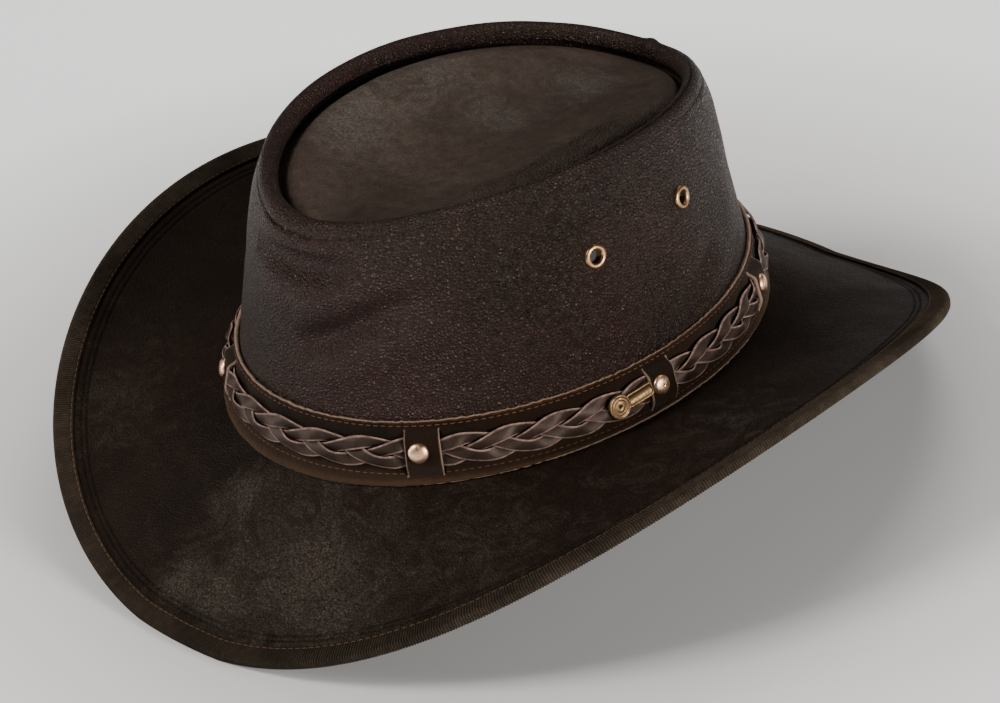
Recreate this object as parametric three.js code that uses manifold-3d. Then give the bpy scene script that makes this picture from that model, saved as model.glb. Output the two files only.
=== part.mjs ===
// Leather bush hat with a rolled, recessed crown, a saddle brim and a braided hatband.
// Millimetres, +Z up, the front of the hat towards -Y and the wearer's left towards +X.
// Heights are worked out from the crown's seam, and the whole hat is set down on its brim at the
// end, so the origin is on the resting plane, under the middle of the brim.
import * as THREE from 'three';
import { mergeVertices } from 'three/addons/utils/BufferGeometryUtils.js';
import Module from 'manifold-3d';

const wasm = await Module();
wasm.setup();

// Brim
const BRIM_LENGTH = 329;
const BRIM_WIDTH = 302;
const BRIM_DROP = 39.5;
const SIDE_RISE = 62;
const BRIM_DISH = 2.4;
const BRIM_THICKNESS = 2;
const REST_FLAT = 1.05;
const REST_TURN = 9;
const BINDING_WIDTH = 8.5;
const BINDING_THICKNESS = 1;

// Crown
const HEAD_LENGTH = 204;
const HEAD_WIDTH = 165.5;
const CROWN_LEATHER = 1.6;
const CROWN_HEIGHT_FRONT = 79;
const CROWN_HEIGHT_SIDE = 85.5;
const CROWN_HEIGHT_BACK = 72;
const TOP_LENGTH = 164;
const TOP_WIDTH = 113;
const TOP_SHIFT = 3;
const TOP_SAG = 2;
const TOP_LEATHER = 1.6;
const ROLL_WIDTH = 8.4;
const ROLL_HEIGHT = 4.1;
const ROLL_INSET = 1.5;
const ROLL_END = 200;

// Hatband and its braid
const BAND_WIDTH = 20;
const BAND_LEATHER = 1.5;
const BAND_FLARE = 1.7;
const BRAID_WIDTH = 11.2;
const STRAP_WIDTH = 3.9;
const STRAP_LEATHER = 0.7;
const STRAP_LIFT = 1;
const STRAP_TILT = 0.45;
const BRAID_REPEATS = 12;
const BRAID_MIDDLE = 9.8;
const KEEPER_LENGTH = 12;
const KEEPER_SLOPE = 1.2;
const KEEPER_ROOT = 0.7;
const STUD_RADIUS = 3.5;
const STUD_HEIGHT = 1.9;
const STUD_SHIFT = 1.3;
const PIN_DISC_RADIUS = 4.3;
const PIN_BAR_LENGTH = 14;
const PIN_BAR_WIDTH = 5;
const PIN_TURN = 8;
const PIN_THICKNESS = 1.4;

// Eyelets
const EYELET_RADIUS = 4.3;
const EYELET_HOLE = 2.2;
const EYELET_BARREL = 2.9;
const EYELET_LIP = 0.8;
const EYELET_SLACK = 0.5;
const DRILL_LENGTH = 10;

// Fit between the pieces
const CLEARANCE = 0.3;
const BINDING_CLEARANCE = 0.36;

// Smoothness
const AROUND = 56;
const STRAP_STEPS = 12;
const EYELET_SIDES = 10;
const STUD_SIDES = 10;
const PIN_SIDES = 20;
const KEEPER_CUTS = 4;
const TURN_SAMPLES = 720;
const PHASE_SAMPLES = 360;
const SMALL_STEP = 1e-3;
const MERGE_REACH = 1e-4;

// How square each oval is: the share of its half size moved from the ends and the sides.
const OVALS = {
  brim: { ends: 0.053, sides: -0.035 },
  head: { ends: 0.045, sides: -0.045 },
  top: { ends: 0.06, sides: -0.096 },
};

// The crown wall from its seam to the shoulder under the roll. The rise is a share of the wall's
// height, closing a share of the way from the head oval to the shoulder oval, and the swell a
// share of the roll's width pushed out at the front, the sides and the back.
const WALL_ROWS = [
  { rise: 0, closing: 0, front: 0, side: 0, back: 0 },
  { rise: 0.12, closing: 0.14, front: 0, side: 0, back: 0 },
  { rise: 0.26, closing: 0.27, front: 0, side: 0, back: 0 },
  { rise: 0.44, closing: 0.42, front: 0.02, side: -0.01, back: -0.01 },
  { rise: 0.62, closing: 0.58, front: 0.08, side: -0.02, back: 0.02 },
  { rise: 0.8, closing: 0.76, front: 0.2, side: 0.04, back: 0.16 },
  { rise: 0.92, closing: 0.9, front: 0.2, side: 0.08, back: 0.2 },
  { rise: 1, closing: 1, front: 0.08, side: 0.04, back: 0.1 },
];

// The roll over the top edge, as angles on its half ellipse from the wall to the top panel.
const ROLL_ANGLES = [35, 75, 115, 155, ROLL_END];

// Dents of the crown wall: the middle as a turn from the front in degrees and a share of the
// wall's height, the reach as degrees and a share of the height, and the depth as a share of
// the roll's width. A lean tilts the dent, in degrees of turn for the whole height.
const DENTS = [
  { turn: 3, rise: 0.873, wide: 27, tall: 0.055, depth: 0.38, lean: 0 },
  { turn: 23, rise: 0.63, wide: 10, tall: 0.13, depth: 0.34, lean: 165 },
  { turn: 103, rise: 0.36, wide: 8, tall: 0.09, depth: 0.32, lean: 50 },
];

// Rows of the brim as shares of the way from the seam to the binding, and how it curves: the dish
// is s * s * (1 - s), which is greatest at two thirds of the way.
const BRIM_ROWS = [0, 0.33, 0.68, 1];
const BRIM_CURL = 0.1;
const DISH_PEAK = 4 / 27;
const BRIM_END_FLAT = 0.035;

// Rings of the top panel, as shares of its outline, and rows of the band, as shares of its width.
const TOP_RINGS = [1, 0.7, 0.35];
const BAND_ROWS = [0.25, 0.625, 1];

// The dome of a stud, as shares of its radius and its height.
const DOME = [
  { radius: 0, height: 0 },
  { radius: 1, height: 0 },
  { radius: 1, height: 0.25 },
  { radius: 0.75, height: 0.75 },
  { radius: 0.35, height: 0.97 },
  { radius: 0, height: 1 },
];

// Places along the hatband, as shares of its length from the front, the same on both sides.
const STUD_PLACES = [0.085, 0.234, 0.359];
const PIN_PLACE = 0.2025;

// Eyelets on each side, as a turn from the front in degrees and a share of the wall's height.
const EYELET_PLACES = [
  { turn: 79.5, rise: 0.7 },
  { turn: 102.5, rise: 0.73 },
];

const LEATHER_DARK = new THREE.Color(0.035, 0.026, 0.021);
const FINISH = {
  crown: { color: new THREE.Color(0.042, 0.028, 0.028), roughness: 0.5, metalness: 0 },
  top: { color: new THREE.Color(0.05, 0.042, 0.038), roughness: 0.7, metalness: 0 },
  brim: { color: LEATHER_DARK, roughness: 0.6, metalness: 0 },
  binding: { color: new THREE.Color(0.025, 0.019, 0.016), roughness: 0.75, metalness: 0 },
  band: { color: new THREE.Color(0.09, 0.055, 0.02), roughness: 0.85, metalness: 0 },
  strap: { color: new THREE.Color(0.05, 0.036, 0.03), roughness: 0.5, metalness: 0 },
  copper: { color: new THREE.Color(0.86, 0.62, 0.45), roughness: 0.35, metalness: 1 },
  brass: { color: new THREE.Color(0.42, 0.29, 0.13), roughness: 0.4, metalness: 1 },
};

const group = new THREE.Group();

function addPiece(name, geometry, finish) {
  const mesh = new THREE.Mesh(geometry, new THREE.MeshStandardMaterial(finish));
  mesh.name = name;
  group.add(mesh);
}

// A quarter-wise blend of a front, a side and a back value round the hat.
function around(t, front, side, back) {
  const ends = (front + back) / 2;
  return (ends + side) / 2 + ((front - back) / 2) * Math.cos(t) + ((ends - side) / 2) * Math.cos(2 * t);
}

// A point of an oval, t = 0 at the front and a quarter turn at the wearer's left.
function ovalPoint(oval, length, width, shift, t) {
  const x = (width / 2) * ((1 + oval.sides) * Math.sin(t) + oval.sides * Math.sin(3 * t));
  const y = shift - (length / 2) * ((1 + oval.ends) * Math.cos(t) - oval.ends * Math.cos(3 * t));
  return new THREE.Vector2(x, y);
}

// The same oval grown outwards by a distance along its own normal.
function grownOval(oval, length, width, shift, t, growth) {
  const ahead = ovalPoint(oval, length, width, shift, t + SMALL_STEP);
  const behind = ovalPoint(oval, length, width, shift, t - SMALL_STEP);
  const along = ahead.sub(behind).normalize();
  const point = ovalPoint(oval, length, width, shift, t);
  return new THREE.Vector2(point.x + along.y * growth, point.y - along.x * growth);
}

function lerpRows(rows, key, at) {
  let i = 1;
  while (i < rows.length - 1 && rows[i].rise < at) {
    i += 1;
  }
  const low = rows[i - 1];
  const high = rows[i];
  const share = (at - low.rise) / (high.rise - low.rise);
  return low[key] + (high[key] - low[key]) * share;
}

// The brim edge's climb from the front and the back to the sides, before it is levelled to rest.
function edgeRise(t) {
  return (1 - Math.cos(2 * t)) / 2 - BRIM_END_FLAT * (1 - Math.cos(4 * t));
}

// Top face of the brim: s = 0 at the head opening and 1 at its edge, inside the binding.
function brimPoint(s, t) {
  const inner = ovalPoint(OVALS.head, HEAD_LENGTH, HEAD_WIDTH, 0, t);
  const bound = 2 * (BINDING_THICKNESS + BINDING_CLEARANCE);
  const outer = ovalPoint(OVALS.brim, BRIM_LENGTH - bound, BRIM_WIDTH - bound, 0, t);
  const level = edgeRise(THREE.MathUtils.degToRad(REST_TURN));
  const rise = Math.max(0, edgeRise(t) - level) / (1 - level);
  const climb = s * (1 - BRIM_CURL) + BRIM_CURL * s * s;
  const dish = (BRIM_DISH * s * s * (1 - s)) / DISH_PEAK;
  const plan = inner.lerp(outer, s);
  return new THREE.Vector3(plan.x, plan.y, (SIDE_RISE * rise - BRIM_DROP) * climb - dish);
}

// A point just above the brim, a plan distance out from the head opening.
function onBrim(distance, t) {
  const width = brimPoint(1, t).sub(brimPoint(0, t)).setZ(0).length();
  const point = brimPoint(distance / width, t);
  return point.setZ(point.z + CLEARANCE);
}

// Height of the seam round the top panel.
function topHeight(t) {
  return around(t, CROWN_HEIGHT_FRONT, CROWN_HEIGHT_SIDE, CROWN_HEIGHT_BACK);
}

function dentDepth(turn, rise) {
  let depth = 0;
  for (const dent of DENTS) {
    const middle = dent.turn + dent.lean * (rise - dent.rise);
    const away = ((((turn - middle) % 360) + 540) % 360) - 180;
    const reach = (away / dent.wide) ** 2 + ((rise - dent.rise) / dent.tall) ** 2;
    depth += dent.depth * ROLL_WIDTH * Math.exp(-reach);
  }
  return depth;
}

// Outer face of the crown: s from 0 at the brim to 1 at the shoulder, then on over the roll, half
// a turn for each 1.
function crownPoint(s, t) {
  const base = grownOval(OVALS.head, HEAD_LENGTH, HEAD_WIDTH, 0, t, CROWN_LEATHER);
  if (s <= 1) {
    const shoulder = grownOval(OVALS.top, TOP_LENGTH, TOP_WIDTH, TOP_SHIFT, t, ROLL_WIDTH);
    const plan = base.clone().lerp(shoulder, lerpRows(WALL_ROWS, 'closing', s));
    const swell = around(
      t,
      lerpRows(WALL_ROWS, 'front', s),
      lerpRows(WALL_ROWS, 'side', s),
      lerpRows(WALL_ROWS, 'back', s),
    );
    const push = swell * ROLL_WIDTH - dentDepth(THREE.MathUtils.radToDeg(t), s);
    const outward = plan.clone().sub(new THREE.Vector2(0, TOP_SHIFT / 2)).normalize();
    plan.addScaledVector(outward, push);
    return new THREE.Vector3(plan.x, plan.y, CLEARANCE + (topHeight(t) - CLEARANCE) * s);
  }
  const angle = (s - 1) * Math.PI;
  const growth = ROLL_INSET + ((ROLL_WIDTH - ROLL_INSET) / 2) * (1 + Math.cos(angle));
  const plan = grownOval(OVALS.top, TOP_LENGTH, TOP_WIDTH, TOP_SHIFT, t, growth);
  return new THREE.Vector3(plan.x, plan.y, topHeight(t) + ROLL_HEIGHT * Math.sin(angle));
}

// A point off a surface, along its outward normal.
function offSurface(surface, s, t, distance) {
  const up = surface(s + SMALL_STEP, t).sub(surface(s - SMALL_STEP, t));
  const along = surface(s, t + SMALL_STEP).sub(surface(s, t - SMALL_STEP));
  const normal = along.cross(up).normalize();
  return surface(s, t).addScaledVector(normal, distance);
}

// A point on the band's level: up the slope of the wall, round the hat and out from the wall.
function bandPoint(upSlope, t, out) {
  const slope = crownPoint(1, t).sub(crownPoint(0, t)).length();
  return offSurface(crownPoint, upSlope / slope, t, out);
}

function signedVolume(positions, indices) {
  const a = new THREE.Vector3();
  const b = new THREE.Vector3();
  const c = new THREE.Vector3();
  let volume = 0;
  for (let i = 0; i < indices.length; i += 3) {
    a.fromArray(positions, 3 * indices[i]);
    b.fromArray(positions, 3 * indices[i + 1]);
    c.fromArray(positions, 3 * indices[i + 2]);
    volume += a.dot(b.cross(c)) / 6;
  }
  return volume;
}

function meshFrom(points, indices) {
  const positions = points.flatMap((point) => point.toArray());
  if (signedVolume(positions, indices) < 0) {
    for (let i = 0; i < indices.length; i += 3) {
      [indices[i + 1], indices[i + 2]] = [indices[i + 2], indices[i + 1]];
    }
  }
  const geometry = new THREE.BufferGeometry();
  geometry.setAttribute('position', new THREE.Float32BufferAttribute(positions, 3));
  geometry.setIndex(indices);
  return geometry;
}

// A closed band that runs once round the hat: section(t) gives its cut as a closed polygon.
function ringSolid(steps, section) {
  const cuts = [];
  for (let i = 0; i < steps; i += 1) {
    cuts.push(section((i / steps) * 2 * Math.PI, i));
  }
  const sides = cuts[0].length;
  const indices = [];
  for (let i = 0; i < steps; i += 1) {
    const here = i * sides;
    const next = ((i + 1) % steps) * sides;
    for (let j = 0; j < sides; j += 1) {
      const k = (j + 1) % sides;
      indices.push(here + j, next + j, next + k, here + j, next + k, here + k);
    }
  }
  return meshFrom(cuts.flat(), indices);
}

function toManifold(geometry) {
  const bare = geometry.clone();
  bare.deleteAttribute('normal');
  bare.deleteAttribute('uv');
  const merged = mergeVertices(bare, MERGE_REACH);
  const mesh = new wasm.Mesh({
    numProp: 3,
    vertProperties: new Float32Array(merged.attributes.position.array),
    triVerts: new Uint32Array(merged.index.array),
  });
  mesh.merge();
  return new wasm.Manifold(mesh);
}

function toGeometry(manifold) {
  const mesh = manifold.getMesh();
  const geometry = new THREE.BufferGeometry();
  geometry.setAttribute('position', new THREE.Float32BufferAttribute(mesh.vertProperties, 3));
  geometry.setIndex(Array.from(mesh.triVerts));
  return geometry;
}

// A frame on a surface: x round the hat, y up the surface, z outwards.
function surfaceFrame(surface, s, t, distance) {
  const along = surface(s, t + SMALL_STEP).sub(surface(s, t - SMALL_STEP)).normalize();
  const rise = surface(s + SMALL_STEP, t).sub(surface(s - SMALL_STEP, t));
  const out = along.clone().cross(rise).normalize();
  const up = out.clone().cross(along);
  const origin = surface(s, t).addScaledVector(out, distance);
  return new THREE.Matrix4().makeBasis(along, up, out).setPosition(origin);
}

// A solid through cuts of one polygon, closed at both ends. cut(i) gives the points.
function loftSolid(count, polygon, cut) {
  const points = [];
  for (let i = 0; i < count; i += 1) {
    points.push(...cut(i));
  }
  const sides = polygon.length;
  const indices = [];
  for (let i = 0; i < count - 1; i += 1) {
    for (let j = 0; j < sides; j += 1) {
      const k = (j + 1) % sides;
      const here = i * sides;
      const next = here + sides;
      indices.push(here + j, next + j, next + k, here + j, next + k, here + k);
    }
  }
  const last = (count - 1) * sides;
  for (const [a, b, c] of THREE.ShapeUtils.triangulateShape(polygon, [])) {
    const turned = THREE.ShapeUtils.isClockWise(polygon);
    const face = turned ? [a, b, c] : [a, c, b];
    indices.push(face[0], face[2], face[1]);
    indices.push(last + face[0], last + face[1], last + face[2]);
  }
  return meshFrom(points, indices);
}

// Turns round the hat for shares of the band's length, measured along the middle of the braid.
function bandTurns(samples) {
  const lengths = [0];
  let before = bandPoint(BRAID_MIDDLE, 0, 0);
  for (let i = 1; i <= samples; i += 1) {
    const here = bandPoint(BRAID_MIDDLE, (i / samples) * 2 * Math.PI, 0);
    lengths.push(lengths[i - 1] + here.distanceTo(before));
    before = here;
  }
  const total = lengths[samples];
  const turnAt = (share) => {
    const laps = Math.floor(share);
    const wanted = (share - laps) * total;
    let i = 1;
    while (i < samples && lengths[i] < wanted) {
      i += 1;
    }
    const part = (wanted - lengths[i - 1]) / (lengths[i] - lengths[i - 1]);
    return (laps + (i - 1 + part) / samples) * 2 * Math.PI;
  };
  return { total, turnAt };
}

const band = bandTurns(TURN_SAMPLES);
const bandFace = CLEARANCE + BAND_LEATHER;
const braidDepth = 2 * strapReach();
const braidTop = bandFace + CLEARANCE + braidDepth;
const keeperFace = braidTop + CLEARANCE + BAND_LEATHER;

// Height of the plane that the hat rests on, just inside the lowest edge of the binding.
function restingHeight() {
  return bindingCorner(0).z + REST_FLAT;
}

// The outer lower corner of the binding's cut.
function bindingCorner(t) {
  const reach = BINDING_THICKNESS + BINDING_CLEARANCE;
  const edge = brimPoint(1, t).sub(brimPoint(1 - SMALL_STEP, t)).normalize();
  return offSurface(brimPoint, 1, t, BRIM_THICKNESS + reach).addScaledVector(edge, reach);
}

function crownWall(eyelets) {
  const outer = WALL_ROWS.map((row) => row.rise).concat(ROLL_ANGLES.map((angle) => 1 + angle / 180));
  const inner = outer.filter((s, i) => i % 2 === 0 || i === outer.length - 1);
  const wall = ringSolid(AROUND, (t) => {
    const outside = outer.map((s) => crownPoint(s, t));
    const inside = inner.map((s) => offSurface(crownPoint, s, t, -CROWN_LEATHER));
    outside[0] = onBrim(CROWN_LEATHER, t);
    inside[0] = onBrim(0, t);
    return outside.concat(inside.reverse());
  });
  let solid = toManifold(wall);
  const drillRadius = EYELET_BARREL + CLEARANCE;
  for (const frame of eyelets) {
    const drill = new THREE.CylinderGeometry(drillRadius, drillRadius, DRILL_LENGTH, EYELET_SIDES);
    drill.rotateX(Math.PI / 2);
    drill.applyMatrix4(frame);
    solid = solid.subtract(toManifold(drill));
  }
  return toGeometry(solid);
}

// The oval top panel, just under the inner edge of the roll.
function crownTop() {
  const lip = ROLL_HEIGHT * Math.sin(THREE.MathUtils.degToRad(ROLL_END));
  const middle = (topHeight(0) + topHeight(Math.PI)) / 2 + lip;
  const tilt = (topHeight(Math.PI) - topHeight(0)) / TOP_LENGTH;
  const points = [];
  const indices = [];
  const addRing = (share, drop) => {
    for (let i = 0; i < AROUND; i += 1) {
      const t = (i / AROUND) * 2 * Math.PI;
      const rim = grownOval(OVALS.top, TOP_LENGTH, TOP_WIDTH, 0, t, ROLL_INSET + CROWN_LEATHER);
      const slanted = middle + tilt * rim.y;
      const bend = (topHeight(t) + lip - slanted) * share ** 2;
      const height = share * slanted + (1 - share) * middle + bend;
      const sag = TOP_SAG * (1 - share ** 2);
      rim.multiplyScalar(share);
      points.push(new THREE.Vector3(rim.x, rim.y + TOP_SHIFT, height - CLEARANCE - sag - drop));
    }
  };
  const joinRings = (a, b) => {
    for (let i = 0; i < AROUND; i += 1) {
      const k = (i + 1) % AROUND;
      const [p, q, r, s] = [a * AROUND + i, a * AROUND + k, b * AROUND + k, b * AROUND + i];
      indices.push(p, q, r, p, r, s);
    }
  };
  const addHub = (ring, drop, turned) => {
    const hub = points.length;
    points.push(new THREE.Vector3(0, TOP_SHIFT, middle - CLEARANCE - TOP_SAG - drop));
    for (let i = 0; i < AROUND; i += 1) {
      const k = (i + 1) % AROUND;
      const pair = turned ? [k, i] : [i, k];
      indices.push(ring * AROUND + pair[0], ring * AROUND + pair[1], hub);
    }
  };
  TOP_RINGS.forEach((share) => addRing(share, 0));
  TOP_RINGS.forEach((share) => addRing(share, TOP_LEATHER));
  const count = TOP_RINGS.length;
  for (let i = 0; i < count - 1; i += 1) {
    joinRings(i, i + 1);
    joinRings(count + i + 1, count + i);
  }
  joinRings(count, 0);
  addHub(count - 1, 0, false);
  addHub(2 * count - 1, TOP_LEATHER, true);
  return meshFrom(points, indices);
}

// Where the binding starts on the brim, as a share of the way from the seam to the edge.
function bindingStart(t) {
  const width = brimPoint(1, t).distanceTo(brimPoint(0, t));
  return 1 - (BINDING_WIDTH - BINDING_THICKNESS - BINDING_CLEARANCE) / width;
}

function brim() {
  return ringSolid(AROUND, (t) => {
    const rows = BRIM_ROWS.map((share) => share * bindingStart(t)).concat(1);
    const top = rows.map((s) => brimPoint(s, t));
    const under = rows.map((s) => offSurface(brimPoint, s, t, BRIM_THICKNESS));
    return top.concat(under.reverse());
  });
}

// A tape folded round the brim's edge, pressed flat where the hat rests on it.
function edgeBinding() {
  const floor = restingHeight();
  const gap = BINDING_CLEARANCE;
  const reach = BINDING_THICKNESS + gap;
  return ringSolid(AROUND, (t) => {
    const start = bindingStart(t);
    const edge = brimPoint(1, t).sub(brimPoint(1 - SMALL_STEP, t)).normalize();
    const at = (s, down, past) => offSurface(brimPoint, s, t, down).addScaledVector(edge, past);
    const under = BRIM_THICKNESS + gap;
    const outside = [
      at(start, -reach, 0),
      at(1, -reach, gap),
      at(1, -gap, reach),
      at(1, under, reach),
      at(1, under + BINDING_THICKNESS, gap),
      at(start, under + BINDING_THICKNESS, 0),
    ];
    const inside = [
      at(start, under, 0),
      at(1, under, gap),
      at(1, -gap, gap),
      at(start, -gap, 0),
    ];
    outside.forEach((point) => point.setZ(Math.max(point.z, floor)));
    return outside.concat(inside);
  });
}

// The arch of a keeper in the plane across the band: up the slope, and out from the wall.
function keeperArch() {
  const half = BRAID_WIDTH / 2 + CLEARANCE;
  const root = bandFace - KEEPER_ROOT;
  const top = braidTop + CLEARANCE;
  const foot = half + KEEPER_SLOPE;
  return [
    new THREE.Vector2(-foot - BAND_LEATHER, root),
    new THREE.Vector2(-half - BAND_LEATHER / 2, top + BAND_LEATHER),
    new THREE.Vector2(half + BAND_LEATHER / 2, top + BAND_LEATHER),
    new THREE.Vector2(foot + BAND_LEATHER, root),
    new THREE.Vector2(foot, root),
    new THREE.Vector2(half, top),
    new THREE.Vector2(-half, top),
    new THREE.Vector2(-foot, root),
  ];
}

// The strap round the crown, with a raised keeper at each stud that the braid runs through.
function hatband(places) {
  const rows = BAND_ROWS.map((share) => share * BAND_WIDTH);
  const strap = ringSolid(AROUND, (t) => {
    const outside = rows.map((up) => bandPoint(up, t, bandFace));
    const inside = rows.map((up) => bandPoint(up, t, CLEARANCE)).reverse();
    const foot = CROWN_LEATHER + CLEARANCE + BAND_FLARE;
    return [onBrim(foot + BAND_LEATHER, t), ...outside, ...inside, onBrim(foot, t)];
  });
  let solid = toManifold(strap);
  const arch = keeperArch();
  for (const place of places) {
    const centre = place + STUD_SHIFT / band.total;
    const keeper = loftSolid(KEEPER_CUTS, arch, (i) => {
      const share = centre + ((i / (KEEPER_CUTS - 1) - 0.5) * KEEPER_LENGTH) / band.total;
      const t = band.turnAt(share);
      return arch.map((point) => bandPoint(BRAID_MIDDLE + point.x, t, point.y));
    });
    solid = solid.add(toManifold(keeper));
  }
  return toGeometry(solid);
}

// How far a strap's middle and its tilt take it from the middle of the plait.
function strapLift(phase) {
  return -STRAP_LIFT * Math.sin(2 * phase);
}

function strapTilt(phase) {
  return STRAP_TILT * Math.sin(3 * phase);
}

// Half the depth of the plait: the furthest that any edge of a strap stands from its middle.
function strapReach() {
  let reach = 0;
  for (let i = 0; i < PHASE_SAMPLES; i += 1) {
    const phase = (i / PHASE_SAMPLES) * 2 * Math.PI;
    const edge = (Math.abs(strapTilt(phase)) * STRAP_WIDTH) / 2;
    reach = Math.max(reach, Math.abs(strapLift(phase)) + edge + STRAP_LEATHER / 2);
  }
  return reach;
}

// One of the three straps of the flat plait.
function braidStrap(number) {
  const swing = (BRAID_WIDTH - STRAP_WIDTH) / 2;
  const middle = bandFace + CLEARANCE + braidDepth / 2;
  const repeat = band.total / BRAID_REPEATS;
  const corners = [[-1, -1], [1, -1], [1, 1], [-1, 1]];
  return ringSolid(BRAID_REPEATS * STRAP_STEPS, (t, i) => {
    const phase = (i / STRAP_STEPS + number / 3) * 2 * Math.PI;
    const slant = Math.atan((-swing * Math.sin(phase) * 2 * Math.PI) / repeat);
    return corners.map(([side, face]) => {
      const along = (-side * STRAP_WIDTH * Math.sin(slant)) / 2;
      const across = (side * STRAP_WIDTH * Math.cos(slant)) / 2;
      const share = i / STRAP_STEPS / BRAID_REPEATS + along / band.total;
      const lift = strapLift(phase) + strapTilt(phase) * across;
      const out = middle + lift + (face * STRAP_LEATHER) / 2;
      return bandPoint(BRAID_MIDDLE + swing * Math.cos(phase) + across, band.turnAt(share), out);
    });
  });
}

function bandFrame(place, out) {
  const t = band.turnAt(place);
  const slope = crownPoint(1, t).sub(crownPoint(0, t)).length();
  return surfaceFrame(crownPoint, BRAID_MIDDLE / slope, t, out);
}

// A domed rivet head on a keeper.
function stud(place) {
  const profile = DOME.map((row) => new THREE.Vector2(row.radius * STUD_RADIUS, row.height * STUD_HEIGHT));
  const dome = new THREE.LatheGeometry(profile, STUD_SIDES);
  dome.rotateX(Math.PI / 2);
  dome.applyMatrix4(bandFrame(place, keeperFace + CLEARANCE));
  return toGeometry(toManifold(dome));
}

// A rolled eyelet: its lips lie on both faces of the wall, joined by a barrel in the hole.
function eyelet(frame) {
  const outLow = CLEARANCE;
  const inHigh = -CROWN_LEATHER - CLEARANCE - EYELET_SLACK;
  const profile = [
    new THREE.Vector2(EYELET_HOLE, inHigh - EYELET_LIP),
    new THREE.Vector2(EYELET_RADIUS, inHigh - EYELET_LIP),
    new THREE.Vector2(EYELET_RADIUS, inHigh),
    new THREE.Vector2(EYELET_BARREL, inHigh),
    new THREE.Vector2(EYELET_BARREL, outLow),
    new THREE.Vector2(EYELET_RADIUS, outLow),
    new THREE.Vector2(EYELET_RADIUS - EYELET_LIP / 2, outLow + EYELET_LIP),
    new THREE.Vector2(EYELET_HOLE + EYELET_LIP / 2, outLow + EYELET_LIP),
    new THREE.Vector2(EYELET_HOLE, outLow),
    new THREE.Vector2(EYELET_HOLE, inHigh - EYELET_LIP),
  ];
  const ring = new THREE.LatheGeometry(profile, EYELET_SIDES);
  ring.rotateX(Math.PI / 2);
  ring.applyMatrix4(frame);
  return toGeometry(toManifold(ring));
}

// A plain brass pin: a disc with a bar, lying aslant on the braid beside a keeper.
function hatPin() {
  const disc = new THREE.CylinderGeometry(PIN_DISC_RADIUS, PIN_DISC_RADIUS, PIN_THICKNESS, PIN_SIDES);
  disc.rotateX(Math.PI / 2);
  const bar = new THREE.BoxGeometry(PIN_BAR_LENGTH, PIN_BAR_WIDTH, PIN_THICKNESS);
  bar.translate(PIN_BAR_LENGTH / 2, 0, 0);
  const place = bandFrame(PIN_PLACE, braidTop + CLEARANCE + PIN_THICKNESS / 2);
  const solid = toManifold(disc).add(toManifold(bar));
  const pin = toGeometry(solid);
  pin.rotateZ(THREE.MathUtils.degToRad(PIN_TURN));
  pin.applyMatrix4(place);
  return pin;
}

const sides = [
  { name: 'left', sign: 1 },
  { name: 'right', sign: -1 },
];
const eyelets = [];
const studs = [];
for (const side of sides) {
  EYELET_PLACES.forEach((place, i) => {
    const t = side.sign * THREE.MathUtils.degToRad(place.turn);
    const frame = surfaceFrame(crownPoint, place.rise, t, 0);
    eyelets.push({ name: `eyelet_${side.name}_${i + 1}`, frame });
  });
  STUD_PLACES.forEach((place, i) => {
    studs.push({ name: `stud_${side.name}_${i + 1}`, place: side.sign * place });
  });
}

addPiece('crown_wall', crownWall(eyelets.map((item) => item.frame)), FINISH.crown);
addPiece('crown_top', crownTop(), FINISH.top);
addPiece('brim', brim(), FINISH.brim);
addPiece('edge_binding', edgeBinding(), FINISH.binding);
addPiece('hatband', hatband(studs.map((item) => item.place)), FINISH.band);
for (let number = 0; number < 3; number += 1) {
  addPiece(`braid_strap_${number + 1}`, braidStrap(number), FINISH.strap);
}
for (const item of studs) {
  addPiece(item.name, stud(item.place), FINISH.copper);
}
for (const item of eyelets) {
  addPiece(item.name, eyelet(item.frame), FINISH.brass);
}
addPiece('hat_pin', hatPin(), FINISH.brass);

group.position.z = -restingHeight();

export default group;
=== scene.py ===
import math

import bpy
import numpy as np
from mathutils import Matrix, Vector, noise


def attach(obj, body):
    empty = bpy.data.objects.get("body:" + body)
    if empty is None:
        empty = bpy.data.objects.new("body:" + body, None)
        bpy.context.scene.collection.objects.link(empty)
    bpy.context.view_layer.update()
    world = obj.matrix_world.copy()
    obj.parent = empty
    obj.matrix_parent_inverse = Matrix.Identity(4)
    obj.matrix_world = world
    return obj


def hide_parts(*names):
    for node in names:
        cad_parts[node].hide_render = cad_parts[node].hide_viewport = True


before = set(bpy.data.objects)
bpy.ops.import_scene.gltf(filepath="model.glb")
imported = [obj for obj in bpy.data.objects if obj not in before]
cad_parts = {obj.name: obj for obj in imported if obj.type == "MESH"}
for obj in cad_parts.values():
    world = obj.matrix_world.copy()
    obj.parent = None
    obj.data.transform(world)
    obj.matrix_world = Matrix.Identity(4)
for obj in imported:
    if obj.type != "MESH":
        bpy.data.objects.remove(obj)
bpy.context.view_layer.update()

# Dark leather bush hat on a pale floor. Metres, +Z up, the front of the hat towards -Y.
# The sizes repeat the named values of the solids, and the fine surfaces are worked out from them.
MM = 0.001

# Brim
BRIM_LENGTH = 329 * MM
BRIM_WIDTH = 302 * MM
BRIM_DROP = 39.5 * MM
SIDE_RISE = 62 * MM
BRIM_THICKNESS = 2 * MM
REST_FLAT = 1.05 * MM
REST_TURN = math.radians(9)
BINDING_THICKNESS = 1 * MM
TAPE_WIDTH = 7.4 * MM
TAPE_THICKNESS = 0.65 * MM
BRIM_CURL = 0.1
BRIM_DISH = 2.4 * MM
DISH_PEAK = 4 / 27
BRIM_END_FLAT = 0.035

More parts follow.
